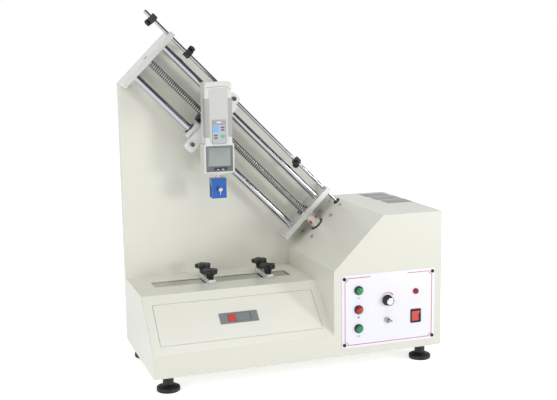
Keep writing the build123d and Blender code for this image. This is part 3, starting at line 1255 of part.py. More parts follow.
def controller_board():
    long, deep, thick = BOARD_SIZE
    x, y = BOARD_AT
    low = SHEET + BOARD_LEGS
    board = block(x, x + long, y, y + deep, low, low + thick)
    for leg_x in (x + BOARD_LEG_INSET, x + long - BOARD_LEG_INSET):
        for leg_y in (y + BOARD_LEG_INSET, y + deep - BOARD_LEG_INSET):
            board = board + bar_z(leg_x, leg_y, SHEET, low, BOARD_LEG_RADIUS)
    top = low + thick
    heat_sink = block(x + long / 4, x + 3 * long / 4, y + deep / 2, y + 5 * deep / 6, top, top + deep / 6)
    terminals = block(x + long / 6, x + long - long / 6, y + deep / 30, y + deep / 8, top, top + BOARD_LEGS)
    relay = block(x + long / 4, x + long / 2, y + deep / 5, y + deep * 2 / 5, top, top + 2 * BOARD_LEGS)
    return board + heat_sink + terminals + relay


def levelling_foot(x, y):
    floor = -FOOT_HEIGHT
    profile = make_face(Polyline([(0, 0), (FOOT_PAD_RADIUS - FOOT_BEVEL, 0), (FOOT_PAD_RADIUS, FOOT_BEVEL),
                                  (FOOT_PAD_RADIUS, FOOT_PAD_THICK),
                                  (FOOT_NECK_RADIUS, FOOT_PAD_THICK + FOOT_DOME),
                                  (FOOT_NECK_RADIUS, FOOT_HEIGHT - FOOT_NECK_GAP),
                                  (FOOT_STUD_RADIUS, FOOT_HEIGHT - FOOT_NECK_GAP),
                                  (FOOT_STUD_RADIUS, FOOT_HEIGHT + FOOT_STUD_ABOVE),
                                  (0, FOOT_HEIGHT + FOOT_STUD_ABOVE)], close=True))
    foot = revolve(Plane.XZ * profile, Axis.Z)
    return Pos(x, y, floor) * foot


# The whole machine
def build_nodes():
    nodes = {
        "base_housing": base_housing(),
        "control_cabinet": control_cabinet(),
        "tall_panel": tall_panel(),
        "service_covers": service_covers(),
        "stage_plate": stage_plate(),
        "fixing_screws": fixing_screws(),
        "end_plates": end_plates(),
        "guide_rods": guide_rods(),
        "screw_bearings": screw_bearings(),
        "lead_screw": lead_screw(),
        "coupling_hubs": coupling_hubs(),
        "coupling_spider": coupling_spider(),
        "gear_motor": gear_motor(),
        "stop_rod": stop_rod(),
        "limit_switches": limit_switches(),
        "bearing_blocks": bearing_blocks(),
        "linear_bushings": linear_bushings(),
        "screw_nut": screw_nut(),
        "carriage_plate": carriage_plate(),
        "carriage_screws": carriage_screws(),
        "gauge_front_shell": gauge_front_shell(),
        "gauge_rear_shell": gauge_rear_shell(),
        "gauge_grip_pads": gauge_grip_pads(),
        "gauge_screen": gauge_screen(),
        "gauge_keypad": gauge_keypad(),
        "gauge_shaft": gauge_shaft(),
        "grip_body": grip_body(),
        "grip_jaw": grip_jaw(),
        "grip_screw": grip_screw(),
        "door": door(),
        "latch_housing": latch_housing(),
        "latch_button": latch_button(),
        "latch_lever": latch_lever(),
        "control_plate": control_plate(),
        "panel_switches": group(switch_bezels() + switch_bodies()),
        "speed_knob": speed_knob(),
        "toggle_lever": toggle_lever(),
        "indicator_lamp": indicator_lamp(),
        "rocker": rocker(),
        "mains_inlet": mains_inlet(),
        "electronics": group([power_supply(), controller_board()]),
    }
    for number in range(len(COLLAR_PLACES)):
        nodes["stop_collar_%d" % (number + 1)] = stop_collar(number)
        nodes["collar_screw_%d" % (number + 1)] = collar_screw(number)
    for side, x in zip(("left", "right"), CLAMP_XS):
        nodes["clamp_bar_" + side] = clamp_bar(x)
        for place, y in zip(("front", "back"), STUD_YS):
            nodes["star_knob_%s_%s" % (side, place)] = star_knob(x, y)
    for name, z in zip(BUTTON_NAMES, BUTTON_ROWS):
        nodes[name] = push_button(z)
    for name, (x, y) in FOOT_PLACES.items():
        nodes[name] = levelling_foot(x, y)
    return nodes


# The origin is on the floor, under the middle of the machine.
to_origin = Pos(-ORIGIN_X, -ORIGIN_Y, FOOT_HEIGHT)
os.makedirs("parts", exist_ok=True)
for name, shape in build_nodes().items():
    placed = [to_origin * solid for solid in shape.solids()]
    export_step(placed[0] if len(placed) == 1 else group(placed), "parts/%s.step" % name)
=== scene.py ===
"""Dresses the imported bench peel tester: finishes for its CAD nodes, finer pieces, light and camera."""
import json
import math

import bmesh
import bpy
import numpy as np
from mathutils import Matrix, Vector


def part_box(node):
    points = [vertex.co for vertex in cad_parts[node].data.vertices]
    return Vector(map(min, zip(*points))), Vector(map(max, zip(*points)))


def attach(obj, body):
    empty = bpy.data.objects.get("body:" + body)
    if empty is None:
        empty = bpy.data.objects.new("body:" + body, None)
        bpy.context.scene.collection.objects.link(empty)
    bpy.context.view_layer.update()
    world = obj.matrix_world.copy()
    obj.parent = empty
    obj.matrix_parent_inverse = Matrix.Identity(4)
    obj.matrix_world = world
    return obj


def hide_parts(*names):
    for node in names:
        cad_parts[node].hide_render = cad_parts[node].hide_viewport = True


bl_info = {
    "name": "Peel tester dresser",
    "version": (1, 0, 0),
    "blender": (4, 5, 0),
    "location": "View3D > Sidebar > Peel tester",
    "description": "Builds the finishes, fine pieces and studio of a bench peel tester round its CAD frame",
    "category": "Object",
}

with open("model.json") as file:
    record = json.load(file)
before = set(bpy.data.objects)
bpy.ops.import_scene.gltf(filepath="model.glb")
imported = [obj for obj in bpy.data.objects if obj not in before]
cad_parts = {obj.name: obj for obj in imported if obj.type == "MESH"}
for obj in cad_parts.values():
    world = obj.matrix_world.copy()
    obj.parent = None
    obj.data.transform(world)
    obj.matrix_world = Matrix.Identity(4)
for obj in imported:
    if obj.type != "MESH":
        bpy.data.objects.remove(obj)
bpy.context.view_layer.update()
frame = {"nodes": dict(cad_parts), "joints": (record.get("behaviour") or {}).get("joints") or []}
JOINTS = {joint["name"]: joint for joint in frame["joints"]}

# Sizes are in millimetres; a mesh is written in metres.
MM = 0.001
ROUND = 96
SMALL_ROUND = 40

# The slide, from the lower end plate's inner face
SLIDE_CLEAR = 500.0
ROD_SPREAD = 45.0
ROD_RADIUS = 8.0
ROD_SEAT = 6.0
JOURNAL_RADIUS = 5.0
SCREW_TOP = -499.6
SCREW_BOTTOM = -3.4
JOURNAL_TOP = -511.0
JOURNAL_END = 26.0
MOTOR_SHAFT = (35.0, 64.3)
STOP_OFFSET = 72.0
STOP_RADIUS = 4.0
STOP_REACH = (-582.0, 81.0)
CAM = (70.0, 76.0, 6.5)
FACE_AT = 48.3
COUPLING_SCREWS = ((20.5, 60.0), (20.5, 150.0))
HUB_RADIUS = 12.5

# Screws on the slide and its motor, from the slide's axis
CARRIAGE_AT = -312.0
EAR_SCREWS = (-70.0, 68.0)
EAR_OUT = 29.0
MOTOR_SCREW_OFF = 33.25
BRACKET_UP = 66.0
BRACKET_OUT = 32.0
FLANGE_SCREW_OFF = 9.5
FLANGE_AT = -3.0
BOLT_AT = (-506.0, 6.0)
BOLT_UP = 52.0
BOLT_OUT = -40.0

# Rear covers, the stage's strip of painted shadow and the blank plates
COVER_INSET = 9.0
APEX_FROM_LEFT = 111.0
PANEL_SHOULDER = 110.3
SLOPE_FOOT_X = 183.5
CABINET_LEFT_X = 69.0
STAGE_LIP = 11.0
BLANK_SIZE = (62, 44)
BLANK_FIRST = (35.0, 156.0)
BLANK_STEP = (4, 52.0)

# Gauge dressing: panel down the face, side grips, keys
PANEL_SIZE = (43, 119)
PANEL_DOWN = 72.5
GRIP_HALF_CASE = 30.5
GRIP_CORNER = 2.5
GRIP_RISE = 1.3
GRIP_DOWN = 77.5
GRIP_HALF_LONG = 42.5
KEYPAD_WIDE = 31.5
KEYS = {"key_blue": [(-7.2, 6.4, 12.6, 11.4)], "key_green": [(8.2, -10.0, 8.4, 7.2)],
        "key_dark": [(8.2, 9.4, 8.0, 3.0), (8.2, 3.8, 8.0, 3.0), (-7.4, -7.6, 8.0, 3.0),
                     (-7.4, -13.2, 8.0, 3.0)]}

# Screws: shank radius, head radius, head height, shank length
PLATE_SCREW = (2.0, 3.8, 2.2, 6.0)
COVER_SCREW = (2.0, 4.0, 2.0, 2.0)
MOTOR_SCREW = (2.5, 4.2, 4.0, 14.0)
FLANGE_SCREW = (1.5, 2.6, 1.6, 5.0)
CAP_SCREW = (3.0, 5.0, 5.5, 14.0)
PANEL_BOLT = (2.0, 3.5, 4.0, 14.0)


class Place:
    """A local frame in the row's frame: an origin in millimetres and three unit axes."""

    def __init__(self, origin, ex, ey, ez):
        self.origin = np.array(origin, float)
        self.axes = np.array([ex, ey, ez], float)

    def at(self, points):
        return (self.origin + np.asarray(points, float) @ self.axes) * MM

    def moved(self, u=0.0, v=0.0, w=0.0):
        return Place(self.origin + np.array([u, v, w]) @ self.axes, *self.axes)

    def turned(self, angle):
        """The same place with its second and third axes turned about the first, in degrees."""
        c, s = math.cos(math.radians(angle)), math.sin(math.radians(angle))
        ex, ey, ez = self.axes
        return Place(self.origin, ex, c * ey + s * ez, c * ez - s * ey)


def joint_place(name):
    """A place on a joint's axis, whose first axis is the joint's own."""
    joint = JOINTS[name]
    ex = np.array(joint["axis"], float)
    side = np.array([0.0, 0.0, 1.0]) if abs(ex[2]) < 0.9 else np.array([1.0, 0.0, 0.0])
    ey = side - ex * (side @ ex)
    ey /= np.linalg.norm(ey)
    return Place(np.array(joint["pos_m"]) / MM, ex, ey, np.cross(ex, ey))


def box_mm(node):
    """A node's lowest and highest corner in millimetres."""
    low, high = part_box(node)
    return np.array(low) / MM, np.array(high) / MM


def box_middle(node):
    low, high = box_mm(node)
    return (low + high) / 2


HALF = math.sqrt(0.5)
SLIDE = Place(np.array(JOINTS["screw_spin"]["pos_m"]) / MM, (HALF, 0, -HALF), (HALF, 0, HALF), (0, -1, 0))
FRONT = ((0, -1, 0), (1, 0, 0), (0, 0, 1))


def facing_front(x, y, z):
    """A place whose first axis comes out of the front, second to the right and third up."""
    return Place((x, y, z), *FRONT)


# Surfaces. Each returns points and four-cornered faces as arrays.
def grid_faces(rows, columns, closed):
    """Faces between neighbouring rows and columns of a grid; closed joins the last column to the first."""
    row = np.arange(rows - 1)[:, None] * columns
    column = np.arange(columns if closed else columns - 1)[None, :]
    following = (column + 1) % columns
    below = row + columns
    return np.stack([row + column, row + following, below + following, below + column], -1).reshape(-1, 4)


def lathe(place, profile, columns=ROUND, shape=None):
    """A profile of (along, radius) turned about the place's first axis.
    shape(angle, along, radius) gives the radius at each angle where the section isn't round."""
    profile = np.array(profile, float)
    angle = np.linspace(0, 2 * math.pi, columns, endpoint=False)[None, :]
    along = profile[:, :1] + 0 * angle
    radius = profile[:, 1:2] + 0 * angle
    if shape is not None:
        radius = shape(angle + 0 * along, along, radius)
    points = np.stack([along, radius * np.cos(angle), radius * np.sin(angle)], -1)
    return place.at(points.reshape(-1, 3)), grid_faces(len(profile), columns, True)


def rounded_outline(wide, high, corner, steps=8):
    """Points round a rectangle with circular corners: each corner's centre plus its radius at a quarter turn
    of angles."""
    corner = min(corner, wide / 2 - 1e-3, high / 2 - 1e-3)
    angle = np.linspace(0, math.pi / 2, steps)
    points = []
    for quarter, (sx, sy) in enumerate(((1, 1), (-1, 1), (-1, -1), (1, -1))):
        turn = angle + quarter * math.pi / 2
        centre = np.array([sx * (wide / 2 - corner), sy * (high / 2 - corner)])
        points.append(centre + corner * np.stack([np.cos(turn), np.sin(turn)], -1))
    return np.concatenate(points)


def plate(place, wide, high, thick, corner=1.0, edge=0.4, dome=0.0):
    """A rounded rectangle grown along the first axis, its front edge a quarter circle and its face crowned
    by dome."""
    rows = [(0.0, 0.0)]
    for turn in np.linspace(0, math.pi / 2, 5):
        rows.append((edge * (1 - math.cos(turn)), thick - edge + edge * math.sin(turn)))
    if dome:
        for share in (0.35, 0.6, 0.8, 0.93):
            inset = edge + (min(wide, high) / 2 - edge) * share
            rows.append((inset, thick + dome * (1 - (1 - share) ** 2)))
    loops = []
    for inset, level in rows:
        line = rounded_outline(wide - 2 * inset, high - 2 * inset, max(corner - inset, 0.02))
        loops.append(np.column_stack([np.full(len(line), level), line]))
    centre = np.zeros((len(loops[0]), 3))
    last = centre + [rows[-1][1] + (dome * 0.02 if dome else 0), 0, 0]
    points = np.concatenate([centre] + loops + [last])
    return place.at(points), grid_faces(len(rows) + 2, len(loops[0]), True)


def band(place, path, width, thick, closed=False):
    """A flat strip of that width along a path of (second, third) axis points, standing thick above the
    place."""
    path = np.array(path, float)
    if closed:
        ahead, behind = np.roll(path, -1, 0), np.roll(path, 1, 0)
    else:
        ahead = np.concatenate([path[1:], 2 * path[-1:] - path[-2:-1]])
        behind = np.concatenate([2 * path[:1] - path[1:2], path[:-1]])
    into = path - behind
    out = ahead - path
    into /= np.linalg.norm(into, axis=1)[:, None]
    out /= np.linalg.norm(out, axis=1)[:, None]
    along = into + out
    along /= np.linalg.norm(along, axis=1)[:, None]
    side = np.column_stack([-along[:, 1], along[:, 0]])
    reach = np.asarray(width, float) / 2 / np.maximum(np.abs((into * along).sum(1)), 0.5)
    left = path + side * reach[:, None]
    right = path - side * reach[:, None]
    rows = []
    for line, level in ((left, 0.0), (left, thick), (right, thick), (right, 0.0)):
        rows.append(np.column_stack([np.full(len(line), level), line]))
    points = np.stack(rows, 1).reshape(-1, 3)
    count = len(path)
    faces = grid_faces(count, 4, True)
    if closed:
        faces = grid_faces(count + 1, 4, True) % (4 * count)
        return place.at(points), faces
    ends = np.array([[0, 1, 2, 3], [4 * count - 1, 4 * count - 2, 4 * count - 3, 4 * count - 4]])
    return place.at(points), np.concatenate([faces, ends])


def socket_head(place, size, flats=None, columns=SMALL_ROUND):
    """A cap screw: shank, bevelled round head and a hexagonal socket. The socket's radius at each angle is
    its half width across flats over the cosine of the angle from the nearest flat's middle."""
    shank, head, high, length = size
    flats = head if flats is None else flats
    bevel = 0.12 * head
    deep = 0.55 * high
    profile = [(-length, 0), (-length, shank), (0, shank), (0, head), (high - bevel, head),
               (high, head - bevel), (high, flats / 2), (high - deep, flats / 2), (high - deep, 0)]
    sided = np.zeros(len(profile), bool)
    sided[-3:-1] = True

    def shape(angle, along, radius):
        third = math.pi / 3
        off = (angle + third / 2) % third - third / 2
        return np.where(sided[:, None], radius / np.cos(off), radius)

    return lathe(place, profile, columns, shape)


def pan_head(place, size, columns=SMALL_ROUND):
    """A pan head screw with a cross recess: the face dips where an angle is near one of four arms."""
    shank, head, high, length = size
    profile = [(-length, 0), (-length, shank), (0, shank), (0, head), (0.45 * high, head)]
    profile += [(high * (0.45 + 0.55 * math.sin(t)), head * (0.7 + 0.3 * math.cos(t)))
                for t in np.linspace(0.3, math.pi / 2, 4)]
    recess = (0.55, 0.5, 0.4, 0.25, 0.1, 0.0)
    profile += [(high, head * share) for share in recess]
    points, faces = lathe(place, profile, columns)
    angle = np.linspace(0, 2 * math.pi, columns, endpoint=False)[None, :]
    radius = np.array([row[1] for row in profile])[:, None]
    near = np.abs(((angle + math.pi / 4) % (math.pi / 2)) - math.pi / 4) * radius
    face = np.arange(len(profile))[:, None] >= len(profile) - len(recess)
    dip = np.where(face & (near < 0.22 * head) & (radius < 0.53 * head), -0.45 * high, 0.0)
    return points + dip.reshape(-1, 1) * place.axes[0] * MM, faces


def join(parts):
    """Several surfaces as one set of points and faces."""
    points, faces, start = [], [], 0
    for some, quads in parts:
        points.append(some)
        faces.append(quads + start)
        start += len(some)
    return np.concatenate(points), np.concatenate(faces)


def make_piece(name, parts, material, body, replaces=(), sharp=32.0):
    """Merges the surfaces into one object that rides on a body: doubles go, faces point outwards."""
    points, faces = join(parts)
    mesh = bpy.data.meshes.new(name)
    mesh.from_pydata(points.tolist(), [], faces.tolist())
    work = bmesh.new()
    work.from_mesh(mesh)
    bmesh.ops.remove_doubles(work, verts=work.verts, dist=2e-6)
    bmesh.ops.dissolve_degenerate(work, edges=work.edges, dist=1e-7)
    bmesh.ops.recalc_face_normals(work, faces=work.faces)
    work.to_mesh(mesh)
    work.free()
    mesh.polygons.foreach_set("use_smooth", np.ones(len(mesh.polygons), bool))
    mesh.set_sharp_from_angle(angle=math.radians(sharp))
    mesh.materials.append(material)
    piece = bpy.data.objects.new(name, mesh)
    bpy.context.scene.collection.objects.link(piece)
    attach(piece, body)
    if replaces:
        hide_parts(*replaces)
    return piece


# Shader groups. Each is built once and placed in every material that uses it.
def new_group(name, inputs, outputs):
    """An empty shader group with its sockets, and its two end nodes."""
    tree = bpy.data.node_groups.new(name, "ShaderNodeTree")
    for label, kind, default in inputs:
        socket = tree.interface.new_socket(name=label, in_out="INPUT", socket_type=kind)
        if default is not None:
            socket.default_value = default
    for label, kind in outputs:
        tree.interface.new_socket(name=label, in_out="OUTPUT", socket_type=kind)
    return tree, tree.nodes.new("NodeGroupInput"), tree.nodes.new("NodeGroupOutput")


def noise_node(tree, scale, detail, roughness=0.5):
    """A noise texture with those settings."""
    node = tree.nodes.new("ShaderNodeTexNoise")
    node.inputs["Scale"].default_value = scale
    node.inputs["Detail"].default_value = detail
    node.inputs["Roughness"].default_value = roughness
    return node


def math_node(tree, operation, first, second):
    """A math node fed by numbers or sockets; gives its output socket."""
    node = tree.nodes.new("ShaderNodeMath")
    node.operation = operation
    for socket, value in zip(node.inputs, (first, second)):
        if isinstance(value, (int, float)):
            socket.default_value = value
        else:
            tree.links.new(value, socket)
    return node.outputs[0]


def grain_group():
    """Fine grain as on powder coat or moulded plastic, with a slow drift of tone under it."""
    tree, start, end = new_group(
        "surface_grain",
        [("Vector", "NodeSocketVector", None), ("Fineness", "NodeSocketFloat", 1400.0),
         ("Drift", "NodeSocketFloat", 5.0)],
        [("Height", "NodeSocketFloat"), ("Tone", "NodeSocketFloat")])
    fine = noise_node(tree, 1.0, 2.0)
    slow = noise_node(tree, 1.0, 3.0)
    for node, label in ((fine, "Fineness"), (slow, "Drift")):
        tree.links.new(start.outputs["Vector"], node.inputs["Vector"])
        tree.links.new(start.outputs[label], node.inputs["Scale"])
    tree.links.new(fine.outputs[0], end.inputs["Height"])
    speck = math_node(tree, "MULTIPLY", fine.outputs[0], 0.35)
    tone = math_node(tree, "ADD", math_node(tree, "MULTIPLY", slow.outputs[0], 0.65), speck)
    tree.links.new(tone, end.inputs["Tone"])
    return tree


def machined_group():
    """Long parallel tool lines: noise squeezed along one axis by the material's mapping, with broader
    streaks."""
    tree, start, end = new_group(
        "machined_lines",
        [("Vector", "NodeSocketVector", None), ("Fineness", "NodeSocketFloat", 900.0),
         ("Drift", "NodeSocketFloat", 60.0)],
        [("Height", "NodeSocketFloat"), ("Tone", "NodeSocketFloat")])
    fine = noise_node(tree, 1.0, 3.0, 0.6)
    broad = noise_node(tree, 1.0, 2.0)
    for node, label in ((fine, "Fineness"), (broad, "Drift")):
        tree.links.new(start.outputs["Vector"], node.inputs["Vector"])
        tree.links.new(start.outputs[label], node.inputs["Scale"])
    tree.links.new(fine.outputs[0], end.inputs["Height"])
    tone = math_node(tree, "ADD", math_node(tree, "MULTIPLY", fine.outputs[0], 0.5),
                     math_node(tree, "MULTIPLY", broad.outputs[0], 0.5))
    tree.links.new(tone, end.inputs["Tone"])
    return tree


def stipple_group():
    """Small cells as on moulded or rubber skin, with a slow drift of tone under them."""
    tree, start, end = new_group(
        "stippled_skin",
        [("Vector", "NodeSocketVector", None), ("Fineness", "NodeSocketFloat", 900.0),
         ("Drift", "NodeSocketFloat", 30.0)],
        [("Height", "NodeSocketFloat"), ("Tone", "NodeSocketFloat")])
    cells = tree.nodes.new("ShaderNodeTexVoronoi")
    tree.links.new(start.outputs["Vector"], cells.inputs["Vector"])
    tree.links.new(start.outputs["Fineness"], cells.inputs["Scale"])
    slow = noise_node(tree, 1.0, 2.0)
    tree.links.new(start.outputs["Vector"], slow.inputs["Vector"])
    tree.links.new(start.outputs["Drift"], slow.inputs["Scale"])
    tree.links.new(cells.outputs["Distance"], end.inputs["Height"])
    tone = math_node(tree, "ADD", math_node(tree, "MULTIPLY", cells.outputs["Distance"], 0.5),
                     math_node(tree, "MULTIPLY", slow.outputs[0], 0.5))
    tree.links.new(tone, end.inputs["Tone"])
    return tree


GROUPS = {}


def effect(name):
    """The shared group of that name, made on first use."""
    makers = {"grain": grain_group, "lines": machined_group, "stipple": stipple_group, "groove": groove_group}
    if name not in GROUPS:
        GROUPS[name] = makers[name]()
    return GROUPS[name]


def finish(name, light, dark, roughness, metallic=0.0, kind="grain", fineness=1400.0, drift=5.0, height=0.02,
           stretch=(1, 1, 1), turn=0.0, spread=0.06, coat=0.0, coat_roughness=0.1, emission=0.0):
    """A procedural finish: tone between two colours, roughness that varies with it, and grain in the normal.
    The pattern is laid on Object coordinates turned about the machine's depth and stretched."""
    material = bpy.data.materials.new(name)
    material.use_nodes = True
    tree = material.node_tree
    shader = tree.nodes["Principled BSDF"]
    shader.inputs["Metallic"].default_value = metallic
    shader.inputs["Coat Weight"].default_value = coat
    shader.inputs["Coat Roughness"].default_value = coat_roughness
    place = tree.nodes.new("ShaderNodeTexCoord")
    mapping = tree.nodes.new("ShaderNodeMapping")
    mapping.vector_type = "TEXTURE"
    mapping.inputs["Location"].default_value = JOINTS["screw_spin"]["pos_m"]
    mapping.inputs["Rotation"].default_value = (0, math.radians(turn), 0)
    mapping.inputs["Scale"].default_value = stretch
    tree.links.new(place.outputs["Object"], mapping.inputs["Vector"])
    group = tree.nodes.new("ShaderNodeGroup")
    group.node_tree = effect(kind)
    group.inputs["Fineness"].default_value = fineness
    group.inputs["Drift"].default_value = drift
    tree.links.new(mapping.outputs[0], group.inputs["Vector"])
    mix = tree.nodes.new("ShaderNodeMix")
    mix.data_type = "RGBA"
    mix.inputs["A"].default_value = (*dark, 1)
    mix.inputs["B"].default_value = (*light, 1)
    tree.links.new(group.outputs["Tone"], mix.inputs["Factor"])
    tree.links.new(mix.outputs["Result"], shader.inputs["Base Color"])
    rough = tree.nodes.new("ShaderNodeMapRange")
    rough.inputs["To Min"].default_value = max(roughness - spread, 0.02)
    rough.inputs["To Max"].default_value = roughness + spread
    tree.links.new(group.outputs["Tone"], rough.inputs["Value"])
    tree.links.new(rough.outputs[0], shader.inputs["Roughness"])
    bump = tree.nodes.new("ShaderNodeBump")
    bump.inputs["Distance"].default_value = height * MM
    tree.links.new(group.outputs["Height"], bump.inputs["Height"])
    tree.links.new(bump.outputs[0], shader.inputs["Normal"])
    if emission:
        tree.links.new(mix.outputs["Result"], shader.inputs["Emission Color"])
        shader.inputs["Emission Strength"].default_value = emission
    return material


def groove_group():
    """How far a point is out from the slide's axis, from 0 at the bottom of a thread to 1 at its crest."""
    tree, start, end = new_group(
        "thread_depth_mask",
        [("Vector", "NodeSocketVector", None), ("Root", "NodeSocketFloat", 0.0066),
         ("Crest", "NodeSocketFloat", 0.0079)],
        [("Mask", "NodeSocketFloat")])
    split = tree.nodes.new("ShaderNodeSeparateXYZ")
    tree.links.new(start.outputs["Vector"], split.inputs[0])
    across = math_node(tree, "MULTIPLY", split.outputs["Y"], split.outputs["Y"])
    up = math_node(tree, "MULTIPLY", split.outputs["Z"], split.outputs["Z"])
    reach = math_node(tree, "SQRT", math_node(tree, "ADD", across, up), 0.0)
    mask = tree.nodes.new("ShaderNodeMapRange")
    tree.links.new(reach, mask.inputs["Value"])
    tree.links.new(start.outputs["Root"], mask.inputs["From Min"])
    tree.links.new(start.outputs["Crest"], mask.inputs["From Max"])
    tree.links.new(mask.outputs[0], end.inputs["Mask"])
    return tree


def paint_shade_in_thread_roots(material, dark):
    """Paints shade into the roots of a thread: the colour falls to dark where the depth mask is low."""
    tree = material.node_tree
    shader = tree.nodes["Principled BSDF"]
    link = shader.inputs["Base Color"].links[0]
    group = tree.nodes.new("ShaderNodeGroup")
    group.node_tree = effect("groove")
    mapping = next(node for node in tree.nodes if node.type == "MAPPING")
    tree.links.new(mapping.outputs[0], group.inputs["Vector"])
    mix = tree.nodes.new("ShaderNodeMix")
    mix.data_type = "RGBA"
    mix.inputs["A"].default_value = (*dark, 1)
    tree.links.new(link.from_socket, mix.inputs["B"])
    tree.links.new(group.outputs["Mask"], mix.inputs["Factor"])
    tree.links.new(mix.outputs["Result"], shader.inputs["Base Color"])
    return material


def shades(colour, drop=0.9):
    """A colour and a slightly darker one, as the two ends of a finish."""
    colour = tuple(colour)[:3]
    return colour, tuple(c * drop for c in colour)


